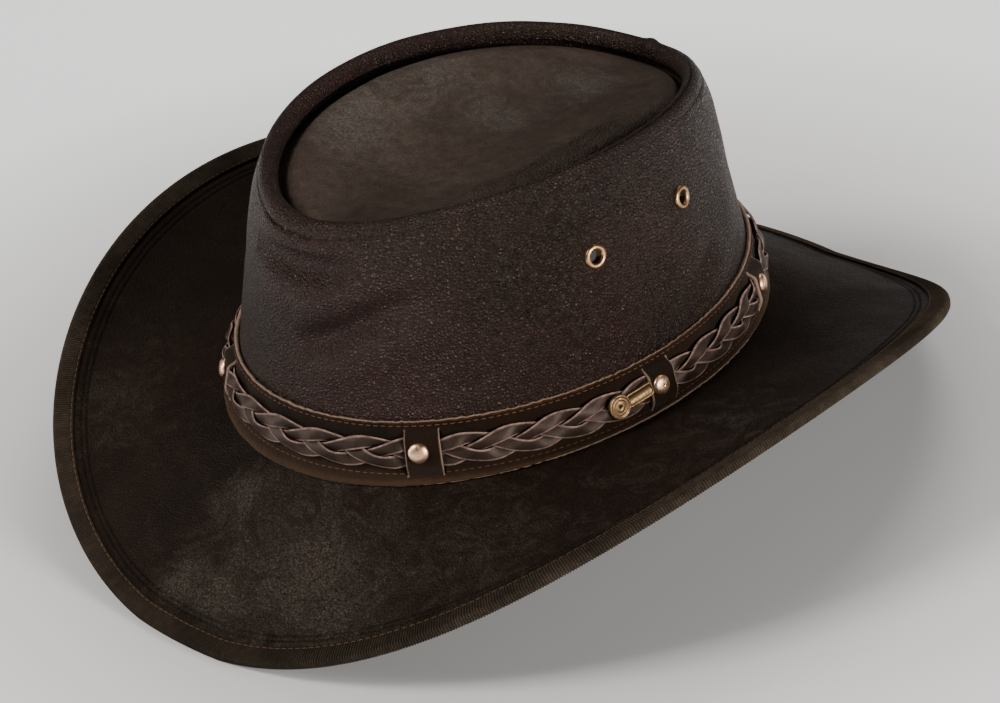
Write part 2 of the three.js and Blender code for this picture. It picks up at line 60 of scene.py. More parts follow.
# Crown
HEAD_LENGTH = 204 * MM
HEAD_WIDTH = 165.5 * MM
CROWN_LEATHER = 1.6 * MM
CROWN_HEIGHT_FRONT = 79 * MM
CROWN_HEIGHT_SIDE = 85.5 * MM
CROWN_HEIGHT_BACK = 72 * MM
TOP_LENGTH = 164 * MM
TOP_WIDTH = 113 * MM
TOP_SHIFT = 3 * MM
TOP_SAG = 2 * MM
TOP_LEATHER = 1.6 * MM
ROLL_WIDTH = 8.4 * MM
ROLL_HEIGHT = 4.1 * MM
ROLL_INSET = 1.5 * MM
ROLL_END = math.radians(200)

# Hatband and its braid
BAND_WIDTH = 20 * MM
BAND_LEATHER = 1.5 * MM
BAND_FLARE = 1.7 * MM
BRAID_WIDTH = 11.4 * MM
STRAP_WIDTH = 4.4 * MM
STRAP_LEATHER = 0.9 * MM
STRAP_LIFT = 0.9 * MM
STRAP_TILT = 0.42
BRAID_REPEATS = 12
BRAID_MIDDLE = 9.8 * MM
BRAID_OUT = 3.5 * MM
BRIDGE_LENGTH = 12 * MM
BRIDGE_HEIGHT = 14.8 * MM
BRIDGE_RISE = 3.0 * MM
BRIDGE_BRAID_OUT = 1.9 * MM
STUD_RADIUS = 3.5 * MM
STUD_HEIGHT = 1.9 * MM
STUD_SHIFT = 1.3 * MM
PIN_DISC_RADIUS = 4.3 * MM
PIN_BAR_LENGTH = 14 * MM
PIN_BAR_WIDTH = 5 * MM
PIN_TURN = math.radians(8)
PIN_THICKNESS = 1.4 * MM

# Eyelets
EYELET_RADIUS = 4.3 * MM
EYELET_HOLE = 2.2 * MM
EYELET_BARREL = 2.9 * MM

CLEARANCE = 0.3 * MM
BINDING_CLEARANCE = 0.36 * MM
TAPE_CLEARANCE = 0.05 * MM
# How far the binding reaches past the brim's own edge
EDGE_REACH = BINDING_THICKNESS + BINDING_CLEARANCE
STEP = 1e-3

OVALS = {
    "brim": {"ends": 0.053, "sides": -0.035},
    "head": {"ends": 0.045, "sides": -0.045},
    "top": {"ends": 0.06, "sides": -0.096},
}

# The crown wall: rise is a share of its height, closing a share of the way from the head oval to
# the shoulder, and the swell a share of the roll's width at the front, the sides and the back.
WALL_ROWS = {
    "rise": (0, 0.12, 0.26, 0.44, 0.62, 0.8, 0.92, 1),
    "closing": (0, 0.14, 0.27, 0.42, 0.58, 0.76, 0.9, 1),
    "front": (0, 0, 0, 0.02, 0.08, 0.2, 0.2, 0.08),
    "side": (0, 0, 0, -0.01, -0.02, 0.04, 0.08, 0.04),
    "back": (0, 0, 0, -0.01, 0.02, 0.16, 0.2, 0.1),
}

# Dents of the crown wall: turn in degrees and share of the wall's height, reach in degrees and in
# shares of the height, depth as a share of the roll's width, and lean in degrees of turn.
DENTS = (
    (3, 0.873, 27, 0.055, 0.22, 0),
    (23, 0.63, 10, 0.13, 0.16, 165),
    (103, 0.36, 8, 0.09, 0.12, 50),
    (4, 0.955, 22, 0.04, -0.12, 0),
)

# Creases of the crown wall, as points of (turn in degrees, share of the wall's height), with the
# depth and the half width of the fold in mm. The lengths are mm of wall for a degree and a share.
CREASES = (
    (((-24, 0.852), (-10, 0.872), (3, 0.886), (14, 0.884), (28, 0.866)), 2.6, 5.4),
    (((4, 0.52), (11, 0.555), (20, 0.61), (32, 0.69), (42, 0.75)), 2.8, 5.2),
    (((90, 0.25), (96, 0.26), (101, 0.31), (107, 0.40), (110, 0.46)), 1.5, 3.4),
    (((44, 0.33), (54, 0.37), (63, 0.44)), 0.35, 2.2),
    (((66, 0.83), (78, 0.87), (90, 0.86)), 0.4, 2.2),
    (((-70, 0.60), (-58, 0.55), (-46, 0.57)), 0.5, 2.2),
    (((150, 0.62), (166, 0.66), (181, 0.64)), 0.55, 2.0),
    (((208, 0.45), (222, 0.50), (233, 0.58)), 0.6, 2.0),
)
TURN_LENGTH = 1.45
RISE_LENGTH = 84

# Studs and pin as shares of the way round the band, eyelets as (degrees, share of the wall's height)
STUD_PLACES = (0.085, 0.234, 0.359)
PIN_PLACE = 0.2025
EYELET_PLACES = ((79.5, 0.7), (102.5, 0.73))
SIDES = (("left", 1), ("right", -1))


# Shapes of the hat

def around(t, front, side, back):
    ends = (front + back) / 2
    return (ends + side) / 2 + (front - back) / 2 * np.cos(t) + (ends - side) / 2 * np.cos(2 * t)


def oval_point(oval, length, width, shift, t):
    x = width / 2 * ((1 + oval["sides"]) * np.sin(t) + oval["sides"] * np.sin(3 * t))
    y = shift - length / 2 * ((1 + oval["ends"]) * np.cos(t) - oval["ends"] * np.cos(3 * t))
    return np.stack([x, y], -1)


def turns(count):
    return np.arange(count) / count * 2 * math.pi


def unit(v):
    return v / np.linalg.norm(v, axis=-1, keepdims=True)


def running_lengths(points):
    """Distance along a line of points, up to each of them."""
    return np.concatenate([[0], np.cumsum(np.linalg.norm(np.diff(points, axis=0), axis=1))])


def grown_oval(oval, length, width, shift, t, growth):
    ahead = oval_point(oval, length, width, shift, t + STEP)
    behind = oval_point(oval, length, width, shift, t - STEP)
    along = unit(ahead - behind)
    normal = np.stack([along[..., 1], -along[..., 0]], -1)
    return oval_point(oval, length, width, shift, t) + normal * np.asarray(growth)[..., None]


def smooth_row(key, at):
    """A smooth curve through one column of the wall's table."""
    x = np.array(WALL_ROWS["rise"], float)
    y = np.array(WALL_ROWS[key], float)
    slope = np.gradient(y, x)
    i = np.clip(np.searchsorted(x, at) - 1, 0, len(x) - 2)
    span = x[i + 1] - x[i]
    u = (at - x[i]) / span
    start = (1 + 2 * u) * (1 - u) ** 2 * y[i] + u * (1 - u) ** 2 * span * slope[i]
    end = u ** 2 * (3 - 2 * u) * y[i + 1] + u ** 2 * (u - 1) * span * slope[i + 1]
    return start + end


def edge_rise(t):
    return (1 - np.cos(2 * t)) / 2 - BRIM_END_FLAT * (1 - np.cos(4 * t))


def brim_point(s, t):
    """Top face of the brim: s = 0 at the head opening and 1 at its edge, inside the binding."""
    inner = oval_point(OVALS["head"], HEAD_LENGTH, HEAD_WIDTH, 0, t)
    bound = 2 * EDGE_REACH
    outer = oval_point(OVALS["brim"], BRIM_LENGTH - bound, BRIM_WIDTH - bound, 0, t)
    level = edge_rise(REST_TURN)
    rise = np.maximum(0, edge_rise(t) - level) / (1 - level)
    climb = s * (1 - BRIM_CURL) + BRIM_CURL * s * s
    dish = BRIM_DISH * s * s * (1 - s) / DISH_PEAK
    plan = inner + (outer - inner) * np.asarray(s)[..., None]
    return np.concatenate([plan, ((SIDE_RISE * rise - BRIM_DROP) * climb - dish)[..., None]], -1)


def across_brim(t):
    return brim_point(1.0, t) - brim_point(0.0, t)


def brim_width(t):
    return np.linalg.norm(across_brim(t), axis=-1)


def on_brim(distance, t):
    """A point just over the brim, at a level distance from the head opening."""
    point = brim_point(distance / np.linalg.norm(across_brim(t)[..., :2], axis=-1), t)
    point[..., 2] += CLEARANCE
    return point


def top_height(t):
    return around(t, CROWN_HEIGHT_FRONT, CROWN_HEIGHT_SIDE, CROWN_HEIGHT_BACK)


def dent_depth(turn, rise):
    depth = np.zeros(np.broadcast(turn, rise).shape)
    for middle, height, wide, tall, deep, lean in DENTS:
        away = (turn - middle - lean * (rise - height) + 180) % 360 - 180
        reach = (away / wide) ** 2 + ((rise - height) / tall) ** 2
        depth = depth + deep * ROLL_WIDTH * np.exp(-reach)
    return depth


def crease_depth(turn, rise):
    """Folds along the lines of the creases, with a soft lip beside each."""
    depth = np.zeros(np.broadcast(turn, rise).shape)
    for line, deep, wide in CREASES:
        line = np.array(line, float)
        middle = line[:, 0].mean()
        x = ((turn - middle + 180) % 360 - 180) * TURN_LENGTH
        y = rise * RISE_LENGTH
        corners = np.stack([(line[:, 0] - middle) * TURN_LENGTH, line[:, 1] * RISE_LENGTH], -1)
        off = np.full(depth.shape, 1e3)
        fade = np.zeros(depth.shape)
        for k in range(len(corners) - 1):
            a, b = corners[k], corners[k + 1]
            run = b - a
            share = np.clip(((x - a[0]) * run[0] + (y - a[1]) * run[1]) / (run @ run), 0, 1)
            away = np.hypot(x - a[0] - share * run[0], y - a[1] - share * run[1])
            at = (k + share) / (len(corners) - 1)
            fade = np.where(away < off, np.sin(math.pi * np.clip(at, 0, 1)) ** 0.6, fade)
            off = np.minimum(off, away)
        fold = np.exp(-(off / wide) ** 2) - 0.45 * np.exp(-((off - 2.6 * wide) / (1.3 * wide)) ** 2)
        depth = depth + deep * MM * fold * fade
    return depth


def crown_point(s, t):
    """Outer face of the crown: s from 0 at the brim to 1 at the shoulder, then on over the roll."""
    s, t = np.broadcast_arrays(np.asarray(s, float), np.asarray(t, float))
    low = np.minimum(s, 1)
    base = grown_oval(OVALS["head"], HEAD_LENGTH, HEAD_WIDTH, 0, t, CROWN_LEATHER)
    shoulder = grown_oval(OVALS["top"], TOP_LENGTH, TOP_WIDTH, TOP_SHIFT, t, ROLL_WIDTH)
    plan = base + (shoulder - base) * smooth_row("closing", low)[..., None]
    swell = around(t, smooth_row("front", low), smooth_row("side", low), smooth_row("back", low))
    push = swell * ROLL_WIDTH - dent_depth(np.degrees(t), low)
    outward = unit(plan - np.array([0, TOP_SHIFT / 2]))
    plan = plan + outward * push[..., None]
    wall = np.concatenate([plan, (CLEARANCE + (top_height(t) - CLEARANCE) * low)[..., None]], -1)
    angle = (np.maximum(s, 1) - 1) * math.pi
    growth = ROLL_INSET + (ROLL_WIDTH - ROLL_INSET) / 2 * (1 + np.cos(angle))
    over = grown_oval(OVALS["top"], TOP_LENGTH, TOP_WIDTH, TOP_SHIFT, t, growth)
    roll = np.concatenate([over, (top_height(t) + ROLL_HEIGHT * np.sin(angle))[..., None]], -1)
    return np.where((s <= 1)[..., None], wall, roll)


def surface_normal(surface, s, t):
    up = surface(s + STEP, t) - surface(s - STEP, t)
    along = surface(s, t + STEP) - surface(s, t - STEP)
    return unit(np.cross(along, up))


def off_surface(surface, s, t, distance):
    s, t = np.broadcast_arrays(np.asarray(s, float), np.asarray(t, float))
    return surface(s, t) + surface_normal(surface, s, t) * np.asarray(distance)[..., None]


def wall_slope(t):
    return np.linalg.norm(crown_point(1.0, t) - crown_point(0.0, t), axis=-1)


def band_point(up, t, out):
    """A point on the band's level: up the slope of the wall, round the hat and out from the wall."""
    up, t, out = np.broadcast_arrays(up, np.asarray(t, float), out)
    return off_surface(crown_point, up / wall_slope(t), t, out)


def binding_start(t):
    return 1 - (TAPE_WIDTH - EDGE_REACH) / brim_width(t)


def brim_edge(t):
    return unit(brim_point(1.0, t) - brim_point(1 - STEP, t))


def resting_height():
    """Level of the floor, at the flats under the front and the back of the binding."""
    t = np.zeros(1)
    under = off_surface(brim_point, 1.0, t, BRIM_THICKNESS + EDGE_REACH)
    return (under + brim_edge(t) * EDGE_REACH)[0, 2] + REST_FLAT


FLOOR = resting_height()
BAND_TURNS = np.linspace(0, 2 * math.pi, 1441)
BAND_LENGTHS = running_lengths(band_point(BRAID_MIDDLE, BAND_TURNS, 0))
BAND_TOTAL = BAND_LENGTHS[-1]


def turn_at(share):
    """The turn at a share of the way round the band."""
    share = np.asarray(share, float)
    laps = np.floor(share)
    return np.interp((share - laps) * BAND_TOTAL, BAND_LENGTHS, BAND_TURNS) + laps * 2 * math.pi


def powered(x, power):
    """Powers under 1 of a sine and a cosine make a circle squarer."""
    return np.sign(x) * np.abs(x) ** power


def smooth_step(low, high, x):
    u = np.clip((x - low) / (high - low), 0, 1)
    return u * u * (3 - 2 * u)


def from_bridge(share):
    """Distance along the band to the middle of the nearest bridge."""
    studs = np.array([sign * place for _, sign in SIDES for place in STUD_PLACES])
    away = (np.asarray(share)[..., None] - (studs + STUD_SHIFT / BAND_TOTAL) + 0.5) % 1 - 0.5
    return np.abs(away).min(-1) * BAND_TOTAL


# Mesh tools

def wave(points, size, depth, seed, octaves=3):
    """Smooth noise at each point, between about -depth and depth."""
    offset = Vector((seed * 3.1, seed * 7.7, seed * 1.3))
    values = [noise.fractal(Vector(p) / size + offset, 1.0, 2.0, octaves) for p in points.reshape(-1, 3)]
    return np.array(values).reshape(points.shape[:-1]) * depth


def ring_faces(steps, sides, closed=True):
    """Faces between rows of points that stand in a ring. Closed rows join end to end too."""
    i, j = np.meshgrid(np.arange(steps), np.arange(sides if closed else sides - 1), indexing="ij")
    k = (i + 1) % steps
    m = (j + 1) % sides
    return np.stack([i * sides + j, k * sides + j, k * sides + m, i * sides + m], -1).reshape(-1, 4)


def volume(points, faces):
    a, b, c, d = (points[faces[:, k]] for k in (0, 1, 2, faces.shape[1] - 1))
    first = np.einsum("ij,ij->i", a, np.cross(b, c)).sum()
    second = np.einsum("ij,ij->i", a, np.cross(c, d)).sum()
    return (first + second) / 6


def link(name, data):
    thing = bpy.data.objects.new(name, data)
    bpy.context.scene.collection.objects.link(thing)
    return thing


def add_piece(name, points, faces, material, places):
    """A smooth mesh set down on the floor. places are values for its material to read."""
    mesh = bpy.data.meshes.new(name)
    mesh.from_pydata((points - np.array([0, 0, FLOOR])).tolist(), [], faces.tolist())
    mesh.polygons.foreach_set("use_smooth", [True] * len(mesh.polygons))
    if places is not None:
        data = mesh.attributes.new("place", "FLOAT_VECTOR", "POINT")
        data.data.foreach_set("vector", places.reshape(-1))
    mesh.materials.append(material)
    mesh.update()
    return link(name, mesh)


def add_mesh(name, points, faces, material, places=None):
    """A closed mesh, turned to face out."""
    points = points.reshape(-1, 3)
    if volume(points, faces) < 0:
        faces = faces[:, ::-1]
    return add_piece(name, points, faces, material, places)


def add_shell(name, rows, material, places):
    """A closed shell of rows of points round the hat."""
    return add_mesh(name, rows, ring_faces(len(rows), rows.shape[1]), material, places)


def add_sheet(name, points, faces, material, places):
    """An open sheet, turned so that its faces look away from the crown."""
    points = points.reshape(-1, 3)
    a, b, c = (points[faces[:, k]] for k in range(3))
    facing = (np.cross(b - a, c - a) * (a * np.array([1, 1, 0]))).sum()
    if facing < 0:
        faces = faces[:, ::-1]
    return add_piece(name, points, faces, material, places)


def places_on(shell, rows, rubbed=0, wrinkled=0, painted_shade_and_cut_side=0):
    """Values for the material on the outer rows of a shell."""
    places = np.zeros(shell.shape)
    for axis, values in enumerate((rubbed, wrinkled, painted_shade_and_cut_side)):
        places[:, :rows, axis] = values
    return places


def dress(piece, slot, *nodes):
    """The piece stands for the solids of those names, which it hides. slot is not used."""
    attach(piece, "root")
    if nodes:
        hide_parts(*nodes)


def apply_modifiers(piece):
    graph = bpy.context.evaluated_depsgraph_get()
    mesh = bpy.data.meshes.new_from_object(piece.evaluated_get(graph))
    piece.modifiers.clear()
    piece.data = mesh


def surface_frame(surface, s, t, out):
    """Directions along, up and out of a surface at a place, and a point at a distance out from it."""
    s = np.array([float(s)])
    t = np.array([float(t)])
    along = unit(surface(s, t + STEP) - surface(s, t - STEP))[0]
    normal = surface_normal(surface, s, t)[0]
    up = np.cross(normal, along)
    origin = surface(s, t)[0] + normal * out
    return along, up, normal, origin


def in_frame(points, axes):
    along, up, normal, origin = axes
    return points @ np.stack([along, up, normal]) + origin


def band_frame(share, out):
    t = float(turn_at(share))
    return surface_frame(crown_point, BRAID_MIDDLE / float(wall_slope(np.array([t]))[0]), t, out)


def lathe(profile, sides):
    """A closed profile of (radius, height), turned about z."""
    profile = np.array(profile)
    a = turns(sides)
    x = np.cos(a)[:, None] * profile[None, :, 0]
    y = np.sin(a)[:, None] * profile[None, :, 0]
    z = np.broadcast_to(profile[None, :, 1], x.shape)
    return np.stack([x, y, z], -1).reshape(-1, 3), ring_faces(sides, len(profile))


def strands(paths, radii, normals, sides):
    """Closed tubes along many short paths: paths (n, k, 3), radii (k,), normals (n, 3)."""
    n, k, _ = paths.shape
    run = unit(np.gradient(paths, axis=1))
    side = unit(np.cross(run, normals[:, None, :]))
    lift = np.cross(side, run)
    a = turns(sides)
    ring = side[:, :, None, :] * np.cos(a)[:, None] + lift[:, :, None, :] * np.sin(a)[:, None]
    points = paths[:, :, None, :] + ring * radii[:, None, None]
    points = points.reshape(n, k * sides, 3)
    i, j = np.divmod(np.arange((k - 1) * sides), sides)
    m = (j + 1) % sides
    faces = np.stack([i * sides + j, i * sides + m, (i + 1) * sides + m, (i + 1) * sides + j], -1)
    every = (faces[None] + (np.arange(n) * k * sides)[:, None, None]).reshape(-1, 4)
    return points.reshape(-1, 3), every


# Materials

class Finish:
    """A material and short names for the nodes that it is built from."""

    def __init__(self, name):
        self.material = bpy.data.materials.new(name)
        self.material.use_nodes = True
        self.tree = self.material.node_tree
        self.shader = self.tree.nodes["Principled BSDF"]
        self.at = self.tree.nodes.new("ShaderNodeTexCoord").outputs["Object"]

    def add(self, kind, inputs=(), **settings):
        node = self.tree.nodes.new(kind)
        for key, value in settings.items():
            setattr(node, key, value)
        for key, value in dict(inputs).items():
            self.put(node.inputs[key], value)
        return node

    def put(self, socket, value):
        if isinstance(value, bpy.types.NodeSocket):
            self.tree.links.new(value, socket)
        elif isinstance(value, tuple) and len(value) == 3 and socket.type == "RGBA":
            socket.default_value = (*value, 1)
        else:
            socket.default_value = value

    def noise(self, scale, detail, rough, warp=0.0):
        inputs = {"Vector": self.at, "Scale": scale, "Detail": detail, "Roughness": rough, "Distortion": warp}
        return self.add("ShaderNodeTexNoise", inputs).outputs["Fac"]

    def cells(self, scale, feature, at):
        inputs = {"Vector": at, "Scale": scale}
        return self.add("ShaderNodeTexVoronoi", inputs, feature=feature).outputs["Distance"]

    def warped(self, size):
        """Object places pushed about by noise, so that cells lose their even shape."""
        kind = "ShaderNodeVectorMath"
        inputs = {"Vector": self.at, "Scale": 0.6 / size, "Detail": 2.0}
        push = self.add("ShaderNodeTexNoise", inputs).outputs["Color"]
        away = self.add(kind, {0: push, 1: (0.5, 0.5, 0.5)}, operation="SUBTRACT").outputs[0]
        reach = self.add(kind, {0: away, "Scale": size * 1.2}, operation="SCALE").outputs[0]
        return self.add(kind, {0: self.at, 1: reach}, operation="ADD").outputs[0]

    def ramp(self, value, *stops):
        node = self.add("ShaderNodeValToRGB", {"Fac": value})
        elements = node.color_ramp.elements
        while len(elements) < len(stops):
            elements.new(0.5)
        for element, (position, colour) in zip(elements, stops):
            element.position = position
            if not isinstance(colour, tuple):
                colour = (colour, colour, colour)
            element.color = (*colour, 1)
        return node.outputs["Color"]

    def mix(self, share, a, b, blend="MIX"):
        node = self.add("ShaderNodeMix", {0: share}, data_type="RGBA", blend_type=blend)
        self.put(node.inputs[6], a)
        self.put(node.inputs[7], b)
        return node.outputs[2]

    def math(self, operation, a, b, clamp=False):
        return self.add("ShaderNodeMath", {0: a, 1: b}, operation=operation, use_clamp=clamp).outputs[0]

    def times(self, a, b):
        return self.math("MULTIPLY", a, b)

    def plus(self, a, b):
        return self.math("ADD", a, b)

    def bump(self, height, strength, distance, normal=None):
        node = self.add("ShaderNodeBump", {"Height": height, "Strength": strength, "Distance": distance})
        if normal is not None:
            self.put(node.inputs["Normal"], normal)
        return node.outputs["Normal"]

    def place(self, axis):
        """One of the values that the mesh gives at each point."""
        data = self.add("ShaderNodeAttribute", attribute_name="place").outputs["Vector"]
        return self.add("ShaderNodeSeparateXYZ", {0: data}).outputs[axis]

    def set(self, **values):
        for key, value in values.items():
            self.put(self.shader.inputs[key.replace("_", " ")], value)


# A warm gloss, as oil gives dark leather
WARM_GLOSS = (1, 0.82, 0.72)


def grained_leather(name, colours, grain, depth, rough, patch, pale_share, shine,
                    tint=None, soft=0.3, relief=0.42):
    """Oiled leather: place says where it is rubbed, where it is wrinkled and how much shade is painted into
    it.

    colours are its dark, mid and pale colours, grain the size of its pebbles and depth how strong they
    are, patch the scale of its blotches, and soft how much it rolls between them.
    """
    f = Finish(name)
    dark, mid, pale = colours
    rubbed, wrinkled, painted_shade_and_cut_side = f.place("X"), f.place("Y"), f.place("Z")
    blotch = f.noise(patch, 8, 0.68, warp=0.5)
    base = f.ramp(blotch, (0.38, dark), (0.64, mid))
    if tint:
        base = f.mix(f.ramp(f.noise(patch * 0.5, 3, 0.5), (0.42, 0), (0.66, 0.85)), base, tint)
    mottle = f.ramp(f.noise(patch * 12, 7, 0.75), (0.32, 0.55), (0.68, 1.45))
    base = f.mix(1.0, base, mottle, "MULTIPLY")
    streaks = f.noise(patch * 4, 12, 0.8, warp=1.8)
    level = f.plus(f.times(rubbed, 0.34), f.times(f.noise(patch * 0.4, 3, 0.55), 0.25))
    scuff = f.ramp(f.plus(streaks, level), (0.67, 0), (0.92, 1))
    fine = f.ramp(f.noise(1 / grain * 0.9, 4, 0.75), (0.4, 0.15), (0.6, 1))
    share = f.times(f.times(scuff, fine), pale_share)
    base = f.mix(share, base, pale)
    at = f.warped(grain)
    pebble = f.ramp(f.cells(1 / grain, "DISTANCE_TO_EDGE", at), (0.0, 0), (0.42, 1))
    bead = f.times(f.cells(1 / grain, "F1", at), -0.7)
    strength = f.math("ADD", f.times(wrinkled, 0.9), depth, clamp=True)
    # The pebbles are painted darker in their cracks and lighter on their tops: their own tone, with painted
    # shade and painted light that give the grain the contrast of lit leather.
    base = f.mix(strength, base, f.mix(1.0, base, f.ramp(pebble, (0.0, 0.12), (0.8, 1.6)), "MULTIPLY"))
    # Painted shade: the third place value darkens the colour in folds, grooves, the gutter and inside the
    # crown.
    base = f.mix(1.0, base, f.ramp(painted_shade_and_cut_side, (0.0, 1), (1.0, 0.12)), "MULTIPLY")
    f.set(Base_Color=base)
    gloss = f.noise(patch * 3, 6, 0.7)
    wear = f.plus(f.times(gloss, rough * 0.7), rough * 0.62)
    wear = f.plus(wear, f.times(painted_shade_and_cut_side, 0.6))
    cracks = f.times(f.ramp(pebble, (0.1, 1), (0.85, 0)), strength)
    wear = f.plus(wear, f.times(cracks, 0.36))
    f.set(Roughness=f.plus(wear, f.times(scuff, 0.15)))
    crumbs = f.times(f.noise(2.2 / grain, 3, 0.65), 0.4)
    height = f.plus(f.plus(pebble, bead), crumbs)
    rolling = f.bump(f.noise(170, 6, 0.62), soft, 0.8 * MM)
    f.set(Normal=f.bump(height, strength, grain * relief, rolling))
    f.set(Specular_IOR_Level=shine, Specular_Tint=WARM_GLOSS)
    return f.material


def metal(name, bright, dull, rough, stain):
    f = Finish(name)
    cloud = f.ramp(f.noise(700, 6, 0.7), (0.4, 0), (0.7, 1))
    f.set(Base_Color=f.mix(f.times(cloud, stain), bright, dull), Metallic=1.0)
    f.set(Roughness=f.plus(f.times(cloud, 0.25), rough))
    f.set(Normal=f.bump(f.noise(1800, 4, 0.7), 0.25, 0.1 * MM))
    return f.material


def plain_thread(name, colour, other):
    f = Finish(name)
    twist = f.noise(2500, 2, 0.5)
    f.set(Base_Color=f.mix(f.noise(60, 3, 0.6), colour, other), Roughness=0.8)
    f.set(Normal=f.bump(twist, 0.5, 0.1 * MM))
    return f.material


def suede(name):
    """Suede with a short nap. place says where it is slit, how far up it is and where it is frayed."""
    f = Finish(name)
    edge = f.place("Z")
    blotch = f.noise(45, 7, 0.65, warp=0.6)
    body = f.ramp(blotch, (0.36, (0.0036, 0.0014, 0.0004)), (0.68, (0.0125, 0.0054, 0.0013)))
    low = f.ramp(f.math("DIVIDE", f.place("Y"), BAND_WIDTH), (0.05, 1), (0.4, 0))
    body = f.mix(f.times(low, 0.7), body, (0.027, 0.0155, 0.0085))
    worn = f.ramp(f.noise(320, 5, 0.7), (0.4, (0.026, 0.0095, 0.002)), (0.7, (0.075, 0.029, 0.0065)))
    worn = f.mix(f.times(low, 0.8), worn, (0.045, 0.027, 0.016))
    ragged = f.plus(edge, f.times(f.math("SUBTRACT", f.noise(260, 4, 0.7), 0.5), 1.1))
    share = f.ramp(ragged, (0.48, 0), (0.95, 0.85))
    whole = f.mix(share, body, worn)
    cut = f.times(f.place("X"), 0.85)
    f.set(Base_Color=f.mix(cut, whole, (0.24, 0.17, 0.125)))
    f.set(Roughness=0.92, Sheen_Weight=0.06, Sheen_Roughness=0.5, Specular_IOR_Level=0.12)
    nap = f.noise(1500, 6, 0.75)
    f.set(Normal=f.bump(nap, 0.7, 0.5 * MM, f.bump(f.noise(240, 4, 0.6), 0.5, 0.8 * MM)))
    return f.material


def cut_edge(name, colour, other):
    """The pale raw side of cut leather."""
    f = Finish(name)
    f.set(Base_Color=f.mix(f.noise(500, 5, 0.7), colour, other), Roughness=0.9)
    f.set(Normal=f.bump(f.noise(1600, 4, 0.7), 0.6, 0.3 * MM))
    return f.material


def strap_leather(name):
    """Dark plaited straps with pale cut sides."""
    f = Finish(name)
    edge = f.place("Z")
    streak = f.noise(120, 6, 0.65)
    body = f.ramp(streak, (0.35, (0.0095, 0.0056, 0.0044)), (0.68, (0.033, 0.0205, 0.0165)))
    pale = f.ramp(f.noise(420, 5, 0.7), (0.35, (0.10, 0.065, 0.055)), (0.65, (0.30, 0.21, 0.19)))
    share = f.ramp(edge, (0.55, 0), (0.85, 1))
    f.set(Base_Color=f.mix(share, body, pale))
    f.set(Roughness=f.plus(f.times(share, 0.3), 0.5))
    f.set(Specular_IOR_Level=0.3, Specular_Tint=WARM_GLOSS)
    f.set(Normal=f.bump(f.noise(1100, 5, 0.7), 0.4, 0.25 * MM))
    return f.material


CROWN = grained_leather(
    "crown_leather", ((0.0040, 0.0020, 0.0016), (0.016, 0.0076, 0.0060), (0.14, 0.09, 0.07)),
    grain=1.15 * MM, depth=1.0, rough=0.3, patch=26, pale_share=0.06, shine=0.34,
    tint=(0.018, 0.0062, 0.0080), soft=0.25, relief=0.28,
)
PANEL = grained_leather(
    "top_leather", ((0.0235, 0.0162, 0.0134), (0.046, 0.0333, 0.0275), (0.108, 0.110, 0.102)),
    grain=1.0 * MM, depth=0.25, rough=0.55, patch=20, pale_share=0.65, shine=0.35, relief=0.75,
)
BRIM = grained_leather(
    "brim_leather", ((0.0038, 0.0020, 0.0011), (0.0098, 0.0060, 0.0041), (0.085, 0.076, 0.065)),
    grain=0.95 * MM, depth=0.55, rough=0.55, patch=18, pale_share=0.6, shine=0.16,
    tint=(0.0080, 0.0036, 0.0020),
)
TAPE = grained_leather(
    "binding_leather", ((0.017, 0.0132, 0.0092), (0.046, 0.036, 0.026), (0.13, 0.11, 0.082)),
    grain=0.5 * MM, depth=0.3, rough=0.75, patch=30, pale_share=0.5, shine=0.25,
)
SUEDE = suede("band_suede")
BAND_EDGE = cut_edge("band_cut_edge", (0.16, 0.105, 0.075), (0.32, 0.23, 0.18))
STRAPS = strap_leather("strap_leather")
COPPER = metal("stud_copper", (0.93, 0.62, 0.42), (0.60, 0.34, 0.20), 0.3, 0.3)
BRASS = metal("eyelet_brass", (0.50, 0.32, 0.17), (0.13, 0.07, 0.035), 0.28, 0.85)
PIN_BRASS = metal("pin_brass", (0.24, 0.16, 0.085), (0.07, 0.044, 0.02), 0.4, 0.9)
THREAD = plain_thread("edge_thread", (0.035, 0.017, 0.008), (0.13, 0.064, 0.028))
DARK_THREAD = plain_thread("band_thread", (0.05, 0.018, 0.008), (0.14, 0.055, 0.02))


# Brim

BRIM_STEPS = 620
EDGE_ZONE = 18 * MM
FINE_ROW = 0.38 * MM
COARSE_ROWS = 30
# Two embossed lines beside the edge, at these distances from it
GROOVES = (10.3 * MM, 12.3 * MM)
GROOVE_WIDTH = 0.45 * MM
GROOVE_DEPTH = 0.4 * MM
# Painted shade in the grooves, at their deepest
GROOVE_SHADE = 0.35
# The brim sways a little, in full from this far in.
BRIM_SWAY = 0.55 * MM
BRIM_SWAY_SIZE = 45 * MM
BRIM_SWAY_FROM = 14 * MM
UNDER_SKIP = 4

# Rubbed patches of the brim: x, y and radius in mm, and how pale they are
RUBS = (
    (18, -134, 34, 0.5),
    (-14, -148, 8, 0.9),
    (4, -147, 7, 0.7),
    (-9, -118, 7, 0.9),
    (54, -138, 22, 0.5),
    (34, -126, 9, 0.6),
    (86, -100, 30, 0.3),
    (-92, -104, 26, 0.3),
    (126, -10, 30, 0.35),
    (-120, 50, 34, 0.3),
    (60, 130, 34, 0.35),
    (-30, 140, 24, 0.3),
)


def rubbed_at(points, rubs):
    """How rubbed each point is by the patches over it."""
    rubbed = 0
    for x, y, radius, pale in rubs:
        away = (points[..., 0] / MM - x) ** 2 + (points[..., 1] / MM - y) ** 2
        rubbed = rubbed + pale * np.exp(-away / radius ** 2)
    return rubbed


def brim_rows(t):
    """Rows from the head opening to the edge, close together where the grooves run."""
    width = brim_width(t)[:, None]
    fine = np.arange(round(EDGE_ZONE / FINE_ROW), -1, -1) * FINE_ROW
    coarse = np.linspace(0, 1, COARSE_ROWS, endpoint=False)
    return np.concatenate([coarse[None] * (1 - EDGE_ZONE / width), 1 - fine[None] / width], 1), width


